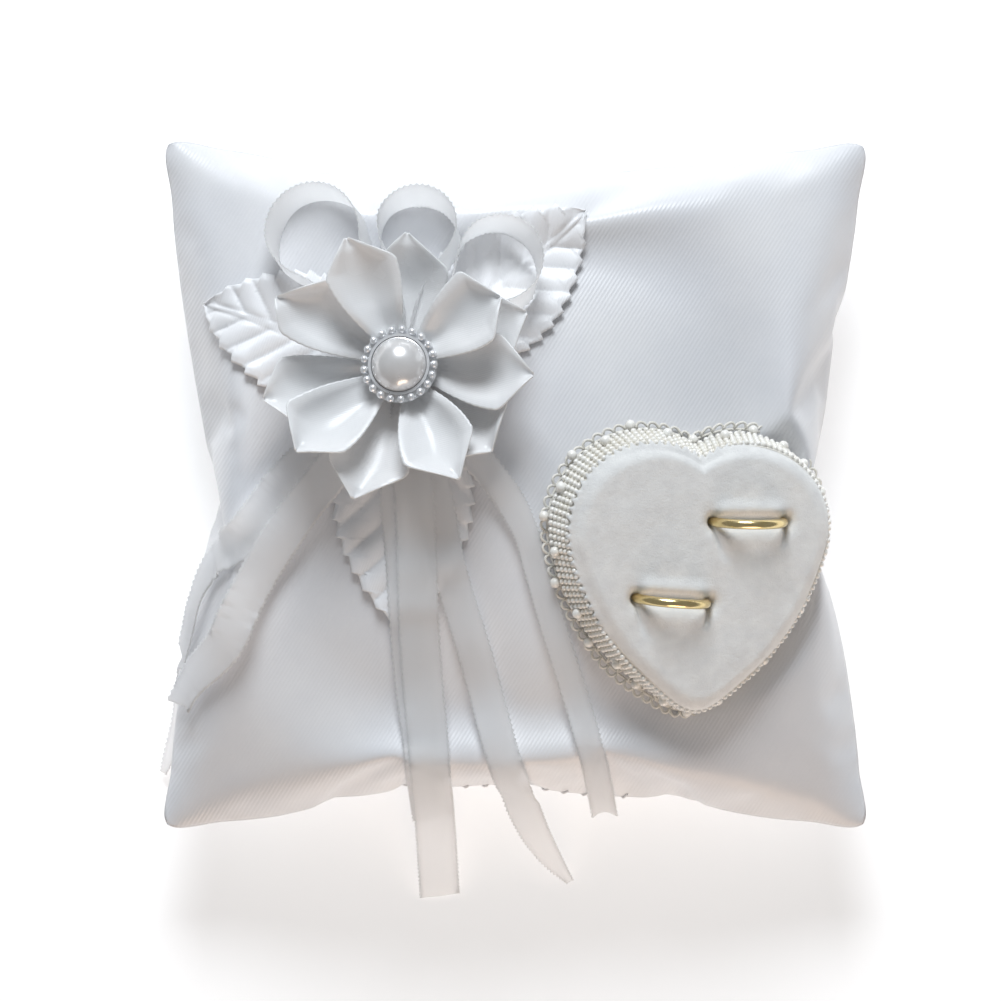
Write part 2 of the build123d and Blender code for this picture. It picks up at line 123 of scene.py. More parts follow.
def apply_modifiers(obj):
    graph = bpy.context.evaluated_depsgraph_get()
    mesh = bpy.data.meshes.new_from_object(obj.evaluated_get(graph))
    obj.modifiers.clear()
    old = obj.data
    obj.data = mesh
    bpy.data.meshes.remove(old)
    mesh.name = obj.name
    return obj


def subdivide(obj):
    smooth = obj.modifiers.new("smooth", "SUBSURF")
    smooth.levels = 1
    smooth.render_levels = 1


def stand_for(obj, body, slot, *replaced):
    """Makes a piece ride a body and take the place of CAD nodes; slot is not used."""
    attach(obj, body)
    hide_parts(*replaced)


def thicken(obj, thickness, offset=0.0):
    solid = obj.modifiers.new("cloth thickness", "SOLIDIFY")
    solid.thickness = thickness
    solid.offset = offset
    return apply_modifiers(obj)


def grid_faces(rows, columns, closed=False):
    """Faces of a grid whose vertices are stored row by row."""
    faces = []
    for row in range(rows - 1):
        for column in range(columns if closed else columns - 1):
            after = (column + 1) % columns
            a = row * columns + column
            b = row * columns + after
            faces.append((a, b, b + columns, a + columns))
    return faces


def from_minus_one(count):
    """Evenly spaced values from -1 to 1."""
    return [-1 + 2 * index / (count - 1) for index in range(count)]


def merged(parts):
    """Vertices and faces of several parts as one mesh."""
    verts = []
    faces = []
    for more_verts, more_faces in parts:
        shift = len(verts)
        verts += more_verts
        faces += [tuple(i + shift for i in face) for face in more_faces]
    return verts, faces


def spline_samples(points, count):
    """Catmull-Rom samples through a list of equally long tuples of floats."""
    samples = []
    last = len(points) - 1
    for index in range(count):
        place = index / (count - 1) * last
        start = min(int(place), last - 1)
        # """Upright band whose rings follow the heart."""
        t = place - start
        p0 = points[max(start - 1, 0)]
        p1 = points[start]
        p2 = points[start + 1]
        p3 = points[min(start + 2, last)]
        sample = []
        for a, b, c, d in zip(p0, p1, p2, p3):
            sample.append(0.5 * (2 * b + (c - a) * t + (2 * a - 5 * b + 4 * c - d) * t * t
                                 + (3 * b - a - 3 * c + d) * t ** 3))
        samples.append(sample)
    return samples


def ball(radius, centre, rings, segments):
    """Vertices and faces of a small round bead."""
    verts = [centre + Vector((0, 0, radius))]
    for ring in range(1, rings):
        polar = math.pi * ring / rings
        for segment in range(segments):
            turn = 2 * math.pi * segment / segments
            flat = math.sin(polar)
            verts.append(centre + radius * Vector(
                (flat * math.cos(turn), flat * math.sin(turn), math.cos(polar))))
    verts.append(centre - Vector((0, 0, radius)))
    faces = []
    for segment in range(segments):
        after = (segment + 1) % segments
        faces.append((0, 1 + segment, 1 + after))
        base = 1 + (rings - 2) * segments
        faces.append((base + after, base + segment, len(verts) - 1))
        for ring in range(rings - 2):
            a = 1 + ring * segments + segment
            b = 1 + ring * segments + after
            faces.append((a, a + segments, b + segments, b))
    return verts, faces


def balls(name, places, material, rings, segments):
    parts = [ball(radius, centre, rings, segments) for centre, radius in places]
    return new_object(name, *merged(parts), material)


def tube(path, radius, closed):
    """Vertices and faces of a thread that follows a path."""
    verts = []
    count = len(path)
    for index, point in enumerate(path):
        before = path[(index - 1) % count] if closed else path[max(index - 1, 0)]
        after = path[(index + 1) % count] if closed else path[min(index + 1, count - 1)]
        ahead = (after - before).normalized()
        side = ahead.cross(Vector((0, 0, 1)))
        if side.length < 0.05:
            side = ahead.cross(Vector((1, 0, 0)))
        side.normalize()
        up = side.cross(ahead)
        for corner in range(THREAD_SIDES):
            turn = 2 * math.pi * corner / THREAD_SIDES
            verts.append(point + (side * math.cos(turn) + up * math.sin(turn)) * radius)
    faces = grid_faces(count, THREAD_SIDES, closed=True)
    base = (count - 1) * THREAD_SIDES
    if closed:
        for corner in range(THREAD_SIDES):
            after = (corner + 1) % THREAD_SIDES
            faces.append((base + corner, base + after, after, corner))
    else:
        faces.append(tuple(range(THREAD_SIDES - 1, -1, -1)))
        faces.append(tuple(base + corner for corner in range(THREAD_SIDES)))
    return verts, faces


def tubes(name, paths, radius, material):
    parts = [tube(path, radius, closed) for path, closed in paths]
    return new_object(name, *merged(parts), material)


# ---- materials

class Shader:
    """A material with a Principled shader and short calls to add nodes to it."""

    def __init__(self, name, **values):
        self.material = bpy.data.materials.new(name)
        self.material.use_nodes = True
        self.tree = self.material.node_tree
        self.main = self.tree.nodes["Principled BSDF"]
        for key, value in values.items():
            self.main.inputs[key.replace("_", " ")].default_value = value
        self.coords = self.tree.nodes.new("ShaderNodeTexCoord").outputs["Object"]

    def node(self, kind, **values):
        made = self.tree.nodes.new(kind)
        for key, value in values.items():
            setattr(made, key, value)
        return made

    def link(self, output, target):
        self.tree.links.new(output, target)

    def turned(self, angle):
        mapping = self.node("ShaderNodeMapping")
        mapping.inputs["Rotation"].default_value = (0, 0, math.radians(angle))
        self.link(self.coords, mapping.inputs["Vector"])
        return mapping.outputs["Vector"]

    def noise(self, period, detail=3.0, roughness=0.5):
        """Cloudy noise whose blobs are about one period wide."""
        made = self.node("ShaderNodeTexNoise")
        made.inputs["Scale"].default_value = 1.0 / period
        made.inputs["Detail"].default_value = detail
        made.inputs["Roughness"].default_value = roughness
        self.link(self.coords, made.inputs["Vector"])
        return made.outputs["Fac"]

    def threads(self, period, angle, distortion=0.0):
        """Parallel ribs one period apart."""
        made = self.node("ShaderNodeTexWave", wave_type="BANDS", bands_direction="X")
        made.inputs["Scale"].default_value = math.pi / 10.0 / period
        made.inputs["Distortion"].default_value = distortion
        self.link(self.turned(angle), made.inputs["Vector"])
        return made.outputs["Fac"]

    def mixed(self, factor, low, high):
        """Colour from low to high as factor goes from 0 to 1."""
        ramp = self.node("ShaderNodeValToRGB")
        ramp.color_ramp.elements[0].color = (*low, 1)
        ramp.color_ramp.elements[0].position = 0.3
        ramp.color_ramp.elements[1].color = (*high, 1)
        ramp.color_ramp.elements[1].position = 0.7
        self.link(factor, ramp.inputs["Fac"])
        return ramp.outputs["Color"]

    def ranged(self, factor, low, high):
        made = self.node("ShaderNodeMapRange")
        made.inputs["To Min"].default_value = low
        made.inputs["To Max"].default_value = high
        self.link(factor, made.inputs["Value"])
        return made.outputs["Result"]

    def colour(self, output):
        self.link(output, self.main.inputs["Base Color"])

    def rough(self, output):
        self.link(output, self.main.inputs["Roughness"])

    def bump(self, *layers):
        """Stacks bump layers of (height output, depth in metres, strength)."""
        normal = None
        for height, depth, strength in layers:
            made = self.node("ShaderNodeBump")
            made.inputs["Distance"].default_value = depth
            made.inputs["Strength"].default_value = strength
            self.link(height, made.inputs["Height"])
            if normal is not None:
                self.link(normal, made.inputs["Normal"])
            normal = made.outputs["Normal"]
        self.link(normal, self.main.inputs["Normal"])


CLOUD = Shader.noise
THREADS = Shader.threads


def coat(name, cloud, low, high, rough, *bumps, **values):
    """Cloudy colour, cloudy roughness unless that is None, and bumps of
    (pattern, its values, depth, strength)."""
    shader = Shader(name, **values)
    shader.colour(shader.mixed(shader.noise(*cloud), low, high))
    if rough:
        period, detail, least, most = rough
        shader.rough(shader.ranged(shader.noise(period, detail), least, most))
    shader.bump(*[(pattern(shader, *settings), depth, strength)
                  for pattern, settings, depth, strength in bumps])
    return shader.material


def satin(name, low, high, roughness, rib_period, rib_angle, sheen, rib_depth):
    return coat(
        name, (0.03, 4.0), low, high, (0.012, 3.0, roughness - 0.06, roughness + 0.06),
        (CLOUD, (0.009, 3.0), 0.0003, 0.35),
        (THREADS, (rib_period, rib_angle, 0.3), rib_depth, 0.5),
        (CLOUD, (0.0005, 2.0), 0.00004, 0.3),
        Specular_IOR_Level=0.5, Sheen_Weight=sheen, Sheen_Roughness=0.4)


def let_light_through(material, share, alpha):
    """Thin woven ribbon: part of the light that falls on one side shows on the other."""
    tree = material.node_tree
    main = tree.nodes["Principled BSDF"]
    main.inputs["Alpha"].default_value = alpha
    glow = tree.nodes.new("ShaderNodeBsdfTranslucent")
    glow.inputs["Color"].default_value = (1.0, 1.0, 1.0, 1)
    both = tree.nodes.new("ShaderNodeMixShader")
    both.inputs["Fac"].default_value = share
    tree.links.new(main.outputs["BSDF"], both.inputs[1])
    tree.links.new(glow.outputs["BSDF"], both.inputs[2])
    tree.links.new(both.outputs["Shader"], tree.nodes["Material Output"].inputs["Surface"])


def make_materials():
    made = {}
    made["cushion_satin"] = satin(
        "cushion satin", (0.78, 0.79, 0.82), (0.86, 0.86, 0.87), 0.36, 0.9 * MM, 32, 0.25, 0.00006)
    made["petal_satin"] = satin(
        "petal satin", (0.94, 0.95, 0.96), (0.98, 0.98, 0.98), 0.26, 0.5 * MM, 75, 0.2, 0.00003)
    made["ribbon_satin"] = satin(
        "ribbon satin", (0.95, 0.96, 0.97), (0.98, 0.98, 0.98), 0.40, 0.55 * MM, 12, 0.6, 0.00004)
    let_light_through(made["ribbon_satin"], 0.65, 0.85)
    let_light_through(made["petal_satin"], 0.15, 1.0)
    made["leaf_satin"] = satin(
        "leaf satin", (0.88, 0.89, 0.91), (0.95, 0.95, 0.96), 0.38, 0.6 * MM, 20, 0.3, 0.00004)

    made["heart_felt"] = coat(
        "heart felt", (0.004, 5.0), (0.80, 0.80, 0.79), (0.90, 0.90, 0.88), None,
        (CLOUD, (0.0022, 4.0, 0.7), 0.0004, 0.6),
        (CLOUD, (0.0004, 3.0, 0.8), 0.0002, 0.7),
        Roughness=0.95, Sheen_Weight=0.5, Sheen_Roughness=0.7)
    made["gold"] = coat(
        "gold", (0.002, 2.0), (0.78, 0.62, 0.30), (0.86, 0.70, 0.38), (0.0007, 3.0, 0.16, 0.27),
        (THREADS, (0.12 * MM, 90, 0.6), 0.00001, 0.15), Metallic=1.0)
    made["silver_setting"] = coat(
        "silver setting", (0.0015, 2.0), (0.84, 0.85, 0.87), (0.94, 0.95, 0.96),
        (0.0008, 3.0, 0.24, 0.38), (CLOUD, (0.0006, 3.0), 0.00004, 0.25), Metallic=0.6)
    made["large_pearl"] = coat(
        "large pearl", (0.006, 3.0), (0.78, 0.77, 0.76), (0.88, 0.87, 0.87),
        (0.003, 3.0, 0.20, 0.30), (CLOUD, (0.0012, 2.0), 0.00002, 0.2),
        Metallic=0.35, Coat_Weight=0.8, Coat_Roughness=0.08)
    made["small_pearl"] = coat(
        "small pearl", (0.004, 2.0), (0.90, 0.87, 0.80), (0.96, 0.95, 0.91),
        (0.002, 2.0, 0.22, 0.34), (CLOUD, (0.0006, 2.0), 0.00002, 0.2),
        Coat_Weight=0.7, Coat_Roughness=0.1)
    made["lace"] = coat(
        "lace", (0.003, 3.0), (0.88, 0.85, 0.77), (0.95, 0.93, 0.87), None,
        (THREADS, (0.35 * MM, 40, 0.5), 0.0001, 0.6), (CLOUD, (0.0004, 2.0), 0.0001, 0.5),
        Roughness=0.8, Sheen_Weight=0.4)
    made["thread"] = coat(
        "thread", (0.002, 2.0), (0.80, 0.80, 0.81), (0.90, 0.90, 0.90), None,
        (THREADS, (0.25 * MM, 35, 0.2), 0.00008, 0.6), Roughness=0.6, Sheen_Weight=0.4)
    made["backing_felt"] = coat(
        "backing felt", (0.003, 4.0), (0.78, 0.78, 0.78), (0.86, 0.86, 0.86), None,
        (CLOUD, (0.0008, 4.0, 0.7), 0.0003, 0.6), Roughness=0.95, Sheen_Weight=0.3)
    made["glue"] = coat(
        "glue", (0.004, 2.0), (0.80, 0.78, 0.70), (0.88, 0.86, 0.80), None,
        (CLOUD, (0.002, 2.0), 0.0002, 0.4), Roughness=0.3, Transmission_Weight=0.4)
    made["board"] = coat(
        "board", (0.002, 4.0), (0.72, 0.70, 0.64), (0.80, 0.78, 0.72), None,
        (CLOUD, (0.0006, 3.0), 0.0001, 0.4), Roughness=0.85)
    return made


materials = make_materials()


def dress(node, name):
    """Gives a CAD node that stays a finished material."""
    mesh = nodes[node].data
    mesh.materials.clear()
    mesh.materials.append(materials[name])


# ---- heart outline

LOBE_CENTRE = (12.2, 13.2)
LOBE_RADIUS = 19.2
LOBE_END_ANGLE = -15.0
SIDE_RADIUS = 64.0
TIP_RADIUS = 6.0
ARC_STEPS = 120


def heart_outline(grow, step):
    """Points of the heart outline in the heart plane, in millimetres, one step apart."""
    lobe = LOBE_RADIUS + grow
    side = SIDE_RADIUS + grow
    tip = TIP_RADIUS + grow
    lobe_end = math.radians(LOBE_END_ANGLE)
    side_x = LOBE_CENTRE[0] - (SIDE_RADIUS - LOBE_RADIUS) * math.cos(lobe_end)
    side_y = LOBE_CENTRE[1] - (SIDE_RADIUS - LOBE_RADIUS) * math.sin(lobe_end)
    tip_angle = -math.degrees(math.acos(-side_x / (SIDE_RADIUS - TIP_RADIUS)))
    tip_y = side_y + (SIDE_RADIUS - TIP_RADIUS) * math.sin(math.radians(tip_angle))
    notch_angle = math.degrees(math.acos(-LOBE_CENTRE[0] / lobe))
    dense = []
    spans = [
        (LOBE_CENTRE, lobe, notch_angle, LOBE_END_ANGLE),
        ((side_x, side_y), side, LOBE_END_ANGLE, tip_angle),
        ((0.0, tip_y), tip, tip_angle, -90.0),
    ]
    for centre, radius, first, last in spans:
        for index in range(ARC_STEPS):
            angle = math.radians(first + (last - first) * index / ARC_STEPS)
            x = centre[0] + radius * math.cos(angle)
            dense.append(Vector((x, centre[1] + radius * math.sin(angle))))
    dense.append(Vector((0.0, tip_y - tip)))
    dense += [Vector((-p.x, p.y)) for p in reversed(dense[1:-1])]
    lengths = [0.0]
    for a, b in zip(dense, dense[1:] + dense[:1]):
        lengths.append(lengths[-1] + (b - a).length)
    count = max(12, round(lengths[-1] / step))
    points = []
    cursor = 0
    for index in range(count):
        want = lengths[-1] * index / count
        while lengths[cursor + 1] < want:
            cursor += 1
        share = (want - lengths[cursor]) / (lengths[cursor + 1] - lengths[cursor])
        points.append(dense[cursor].lerp(dense[(cursor + 1) % len(dense)], share))
    return points


def at_heart(point, height):
    """Place in space of a point in the heart's plane and a height over it, in millimetres."""
    return HEART @ Vector((point[0] * MM, point[1] * MM, height * MM))


HEART_MIDDLE = Vector((0.0, 4.0))


def outward(point):
    return (point - HEART_MIDDLE).normalized()


def lean(out):
    """How far the heart's side is turned to the left and top, about 0 on the right to 1."""
    return 0.5 * (1 - out.x) + 0.35 * out.y


HEART_REACH = []
for outline_point in heart_outline(0.0, 1.0):
    away = outline_point - HEART_MIDDLE
    HEART_REACH.append((math.atan2(away.y, away.x), away.length))
HEART_REACH.sort()


def heart_reach(angle):
    """Distance from the heart's middle to its outline, in millimetres."""
    best = min(HEART_REACH, key=lambda item: abs(math.remainder(item[0] - angle, 2 * math.pi)))
    return best[1]


# ---- cushion

SIM_SCALE = 10.0
CUT_WIDTH = 184.0 * MM
CUT_DEPTH = 178.0 * MM
GRID = 84
FRAMES = 56
CLOTH = {
    "quality": 6, "mass": 0.3,
    "tension_stiffness": 15, "compression_stiffness": 15,
    "shear_stiffness": 3, "bending_stiffness": 0.15,
    "tension_damping": 5, "compression_damping": 5, "shear_damping": 5, "bending_damping": 0.5,
    "air_damping": 2, "use_pressure": True, "uniform_pressure_force": 0.6,
}
FILLED_HALF = 25.0 * MM
CORNER_EAR = 3.2 * MM
EAR_START = 0.84
REST_BLEND = 2.5 * MM
REST_DEPTH = -5.0 * MM
SEAM_CREASE = 0.75


def cushion_start(u, v, side):
    """Flat cut panel with trimmed corners, a little domed so that it fills the right way."""
    trim = 1.0 - 0.035 * (abs(u) * abs(v)) ** 14
    x = u * CUT_WIDTH / 2 * trim
    y = v * CUT_DEPTH / 2 * trim
    rise = (1 - u * u) * (1 - v * v)
    z = side * 10 * MM * math.sqrt(rise)
    z += 1.5 * MM * noise.noise(Vector((x * 18 + side * 3, y * 18, 7.0))) * rise ** 0.3
    return Vector((x, y, z))


def panel_grid(shape):
    """Front and back panels that share their edge: vertices, faces and (u, v, side) of each."""
    index = {}
    verts = []
    keys = []
    for side in (1, -1):
        for i in range(GRID + 1):
            for j in range(GRID + 1):
                edge = i in (0, GRID) or j in (0, GRID)
                if side == -1 and edge:
                    index[(side, i, j)] = index[(1, i, j)]
                    continue
                u = -1 + 2 * i / GRID
                v = -1 + 2 * j / GRID
                index[(side, i, j)] = len(verts)
                verts.append(shape(u, v, side))
                keys.append((u, v, 0 if edge else side))
    faces = []
    for side in (1, -1):
        for i in range(GRID):
            for j in range(GRID):
                face = [index[(side, i, j)], index[(side, i + 1, j)],
                        index[(side, i + 1, j + 1)], index[(side, i, j + 1)]]
                faces.append(face if side == 1 else face[::-1])
    return verts, faces, keys


def inflate(obj):
    """Fills the sewn panels by cloth simulation under pressure, and applies the result."""
    cloth = obj.modifiers.new("cloth", "CLOTH")
    for key, value in CLOTH.items():
        setattr(cloth.settings, key, value)
    cloth.settings.effector_weights.gravity = 0
    cloth.collision_settings.use_collision = False
    cloth.collision_settings.use_self_collision = False
    cloth.point_cache.frame_start = 1
    cloth.point_cache.frame_end = FRAMES
    for number in range(1, FRAMES + 1):
        scene.frame_set(number)
    return apply_modifiers(obj)


def under_heart(point):
    """Lowers a point of the face where the heart's base is set into the cushion."""
    local = HEART_INVERSE @ point
    away = Vector((local.x, local.y)) / MM - HEART_MIDDLE
    outside = away.length - heart_reach(math.atan2(away.y, away.x)) - 1.0
    limit = 0.2 * MM + max(0.0, outside) * 0.55 * MM
    if local.z > limit and outside < 14:
        local.z = limit
        return HEART @ local
    return point


def settle(point, u, v, side, corner_scale, side_scale):
    """Fits one simulated point to the cushion's real size and lets it rest on its back."""
    x = point.x * (corner_scale[0] + (side_scale[0] - corner_scale[0]) * (1 - v * v) * u * u)
    y = point.y * (corner_scale[1] + (side_scale[1] - corner_scale[1]) * (1 - u * u) * v * v)
    ear = CORNER_EAR * smoothstep(EAR_START, 1.0, abs(u)) * smoothstep(EAR_START, 1.0, abs(v))
    x += math.copysign(ear, u)
    y += math.copysign(ear, v)
    rise = (FRONT_RISE if point.z > 0 else BACK_DROP) / FILLED_HALF
    z = SEAM_HEIGHT + point.z * rise
    if side == 1:
        share = smoothstep(0.12, 0.5, crown(x, y))
        wrinkle = 0.5 * MM * noise.noise(Vector((x * 45, y * 45, 2.0)))
        z = z * (1 - share) + (face_height(x, y) + wrinkle) * share
        return under_heart(Vector((x, y, z)))
    near_edge = smoothstep(0.90, 1.0, max(abs(u), abs(v)))
    run = (u if abs(v) > abs(u) else v) * 84
    pucker = math.sin(run * 0.9) + 0.6 * math.sin(run * 0.53 + 1.0)
    z += 0.35 * MM * pucker * near_edge
    if z <= REST_DEPTH:
        z = 0.0
    elif z < REST_BLEND:
        z = REST_BLEND * math.exp(z / REST_BLEND - 1.0)
    return Vector((x, y, z))


def middle_offset(points, keys, axis):
    """Mean distance of two opposite sides from the centre, near their middles."""
    found = [abs(point[axis]) for point, key in zip(points, keys)
             if abs(key[axis]) == 1 and abs(key[1 - axis]) < 0.3]
    return sum(found) / len(found)


def make_cushion():
    shape = cushion_start
    factor = SIM_SCALE
    verts, faces, keys = panel_grid(shape)
    verts = [vert * factor for vert in verts]
    obj = new_object("cushion_cover", verts, faces, materials["cushion_satin"])
    inflate(obj)
    points = [v.co / factor for v in obj.data.vertices]
    width = max(p.x for p in points) - min(p.x for p in points)
    depth = max(p.y for p in points) - min(p.y for p in points)
    corner_scale = (CUSHION_WIDTH / width, CUSHION_DEPTH / depth)
    side_scale = (CUSHION_WIDTH / 2 * (1 - SIDE_PULL_X) / middle_offset(points, keys, 0),
                  CUSHION_DEPTH / 2 * (1 - SIDE_PULL_Y) / middle_offset(points, keys, 1))
    for vertex, point, (u, v, side) in zip(obj.data.vertices, points, keys):
        vertex.co = settle(point, u, v, side, corner_scale, side_scale)
    seam = obj.data.attributes.new("crease_edge", "FLOAT", "EDGE")
    for edge in obj.data.edges:
        a, b = edge.vertices
        on_seam = keys[a][2] == 0 and keys[b][2] == 0
        seam.data[edge.index].value = SEAM_CREASE if on_seam else 0.0
    subdivide(obj)
    apply_modifiers(obj)
    for polygon in obj.data.polygons:
        polygon.use_smooth = True
    return obj


cushion = make_cushion()
stand_for(cushion, "pillow", "cushion_satin",
          "front_cover", "back_cover", "fibre_filling", "seam_allowance")

bpy.context.view_layer.update()
surface = BVHTree.FromObject(cushion, bpy.context.evaluated_depsgraph_get())


def cushion_top(x, y):
    """Point and normal of the cushion's face above a place in the plan, or None off its edge."""
    hit, normal, _, _ = surface.ray_cast(Vector((x, y, 0.2)), Vector((0, 0, -1)))
    return hit, normal


def clear_of_cushion(point, gap):
    """Moves a point out of the cushion so that it keeps a gap to its surface."""
    nearest, normal, _, _ = surface.find_nearest(point)
    out = (point - nearest).dot(normal)
    if out < gap and (point - nearest).length < 12 * MM:
        return nearest + normal * gap
    return point


# ---- closing stitches

CLOSING_STITCHES = 12
STITCH_PITCH = 5.0 * MM


def make_stitches():
    """Slanted hand stitches that close the opening in the lower seam."""
    paths = []
    for index in range(CLOSING_STITCHES):
        x = (index - (CLOSING_STITCHES - 1) / 2) * STITCH_PITCH
        start, _, _, _ = surface.ray_cast(Vector((x, -0.2, SEAM_HEIGHT)), Vector((0, 1, 0)))
        path = []
        for step in range(9):
            t = -1 + step / 4
            wanted = start + Vector((0.8 * MM * t, -0.2 * MM, 1.5 * MM * t))
            near, normal, _, _ = surface.find_nearest(wanted)
            path.append(near + normal * (0.32 - 0.25 * t ** 4) * MM)
        paths.append((path, False))
    return tubes("closing_stitch_threads", paths, 0.25 * MM, materials["thread"])


stand_for(make_stitches(), "pillow", "thread", "closing_stitches")


# ---- leaves

LEAF_TEETH = 13
LEAF_TOOTH = 1.5 * MM
LEAF_ROOT = 6.5 * MM
LEAVES = {
    "leaf_left": (161.0, 51.0 * MM, 16.0 * MM),
    "leaf_upper_right": (42.0, 58.0 * MM, 16.0 * MM),
    "leaf_bottom": (-91.0, 62.0 * MM, 17.0 * MM),
}
LEAF_ROWS = 157
LEAF_COLUMNS = 37
LEAF_VEINS = 6.5


def leaf_half_width(t, half_width):
    swell = half_width * math.sin(math.pi * min(1.0, 0.12 + 0.88 * t)) ** 0.8
    tooth = LEAF_TOOTH * ((t * LEAF_TEETH) % 1.0) ** 1.3
    tooth *= smoothstep(0.0, 0.08, t) * smoothstep(1.0, 0.94, t)
    return max(0.3 * MM, swell - 0.4 * MM) + tooth


def leaf_relief(t, side, half_width, length):
    """Height of the pressed veins: puffed ribs that run forward from the midrib."""
    across = abs(side) * half_width
    forward = t * length - 1.05 * across
    phase = forward / length * LEAF_VEINS
    rib = abs(math.sin(math.pi * phase)) ** 0.55
    midrib = math.exp(-(across / (0.55 * MM)) ** 2)
    valley = 1.0 - math.exp(-(across / (1.1 * MM)) ** 2)
    fade = smoothstep(1.0, 0.85, abs(side)) * smoothstep(0.0, 0.06, t) * smoothstep(1.0, 0.9, t)
    return (rib * valley + 0.8 * midrib) * MM * (0.3 + 0.7 * fade)


def make_leaf(name, angle, length, half_width):
    turn = math.radians(angle)
    ahead = Vector((math.cos(turn), math.sin(turn)))
    aside = Vector((-math.sin(turn), math.cos(turn)))
    verts = []
    for row in range(LEAF_ROWS):
        t = row / (LEAF_ROWS - 1)
        reach = LEAF_ROOT + (length - LEAF_ROOT + 1.5 * MM) * t
        half = leaf_half_width(t, half_width)
        for side in from_minus_one(LEAF_COLUMNS):
            plan = Vector(FLOWER_CENTRE) + ahead * reach + aside * (side * half)
            hit, normal = cushion_top(plan.x, plan.y)
            wave = noise.noise(Vector((plan.x * 55, plan.y * 55, angle)))
            lift = (0.7 + 0.3 * wave) * MM + 0.8 * MM * abs(side) ** 3 * smoothstep(0.2, 0.6, t)
            lift += leaf_relief(t, side, half, length)
            verts.append(hit + normal * lift)
    faces = grid_faces(LEAF_ROWS, LEAF_COLUMNS)
    return thicken(new_object(name + "_cloth", verts, faces, materials["leaf_satin"]), 0.3 * MM)


leaf_pieces = []
for leaf_name, (leaf_angle, leaf_length, leaf_half) in LEAVES.items():
    leaf = make_leaf(leaf_name, leaf_angle, leaf_length, leaf_half)
    leaf_pieces.append(leaf)
    stand_for(leaf, "pillow", "leaf_satin", leaf_name)


def joined_surface(objects):
    """Search tree over several pieces, to lay ribbons on them."""
    parts = []
    for obj in objects:
        verts = [vertex.co.copy() for vertex in obj.data.vertices]
        parts.append((verts, [tuple(polygon.vertices) for polygon in obj.data.polygons]))
    return BVHTree.FromPolygons(*merged(parts))


support = joined_surface([cushion] + leaf_pieces)


# ---- petals

PETAL_BOWL_RADIUS = 75.0
PETAL_TIER_HEIGHTS = {1: 4.0, 2: 7.0, 3: 10.0}
TIER_RISE = 1.5
PETAL_ROWS = 35
PETAL_COLUMNS = 17
# tier, angle, far corner, corner on each side of it, cup depth, lift of the tip and roll,
# in millimetres and degrees
PETALS = [
    (1, 22, (34.0, 0.5), (27.0, 9.5), (26.0, -9.0), 3.5, 0.5, 6),
    (1, 85, (33.0, 1.5), (25.0, 9.5), (25.0, -9.5), 4.0, 2.5, -6),
    (1, 194, (35.0, 0.0), (26.0, 10.5), (29.0, -9.0), 4.0, 0.5, 4),
    (1, 253, (35.0, -1.0), (26.0, 10.0), (27.0, -10.0), 4.5, -0.5, -8),
    (1, 323, (31.5, -3.0), (27.5, 9.5), (25.0, -10.5), 5.5, 2.0, 10),
    (2, 142, (34.0, 6.0), (28.0, 12.0), (25.5, -7.0), 6.5, 2.0, -8),
    (2, 215, (33.0, 4.0), (24.0, 11.0), (28.5, -7.5), 5.5, 1.5, 8),
    (2, 297, (33.0, 1.0), (23.5, 9.5), (24.5, -9.5), 6.0, 1.0, -6),
    (2, 355, (34.0, 0.0), (25.0, 9.5), (26.5, -9.5), 4.0, 0.5, 0),
    (3, 110, (33.0, 1.5), (25.0, 9.5), (25.0, -8.5), 6.5, 1.0, 5),
    (3, 40, (30.0, -4.5), (26.5, 7.0), (22.5, -12.0), 6.0, 0.5, -10),
]
PETAL_ROOT = 4.5
PETAL_CORNER = 0.72
# rows of the cloth folded under: share of the petal's length, drop in millimetres
PETAL_FOLD = [(0.995, 0.9), (0.97, 1.5), (0.85, 1.9), (0.65, 2.0), (0.45, 1.8)]


def petal_edge(u, corner, far, side):
    """Point on one edge of a petal: bulging to the folded corner, then straight to the far one."""
    root_y = 1.8 * side
    if u < PETAL_CORNER:
        t = u / PETAL_CORNER
        x = PETAL_ROOT + (corner[0] - PETAL_ROOT) * t
        y = root_y + (corner[1] - root_y) * math.sin(math.pi / 2 * t) ** 1.05
        return x, y
    t = (u - PETAL_CORNER) / (1 - PETAL_CORNER)
    x = corner[0] + (far[0] - corner[0]) * t
    y = corner[1] + (far[1] + 0.5 * side - corner[1]) * t
    return x, y


def petal_point(u, v, petal):
    tier, angle, far, left, right, cup, lift, roll = petal
    upper = petal_edge(u, left, far, 1)
    lower = petal_edge(u, right, far, -1)
    share = (v + 1) / 2
    x = lower[0] + (upper[0] - lower[0]) * share
    y = lower[1] + (upper[1] - lower[1]) * share
    reach = math.hypot(x, y)
    z = PETAL_TIER_HEIGHTS[tier] + PETAL_BOWL_RADIUS
    z -= math.sqrt(PETAL_BOWL_RADIUS ** 2 - reach ** 2)
    hollow = math.sin(math.pi * 0.93 * u)
    rim = smoothstep(0.78, 1.0, abs(v))
    z += TIER_RISE * (tier - 1) * smoothstep(0.0, 0.4, u)
    z += cup * (1.15 * v * v - 0.42 * rim - 0.15) * hollow
    z += 1.2 * lift * smoothstep(0.5, 1.0, u) - 1.3 * smoothstep(0.88, 1.0, u)
    z += 0.7 * math.cos(6.0 * v + angle) * (1 - u) ** 3
    z += y * math.tan(math.radians(roll)) * u
    z += 0.35 * noise.noise(Vector((x * 0.12, y * 0.2, angle)))
    return x, y, z


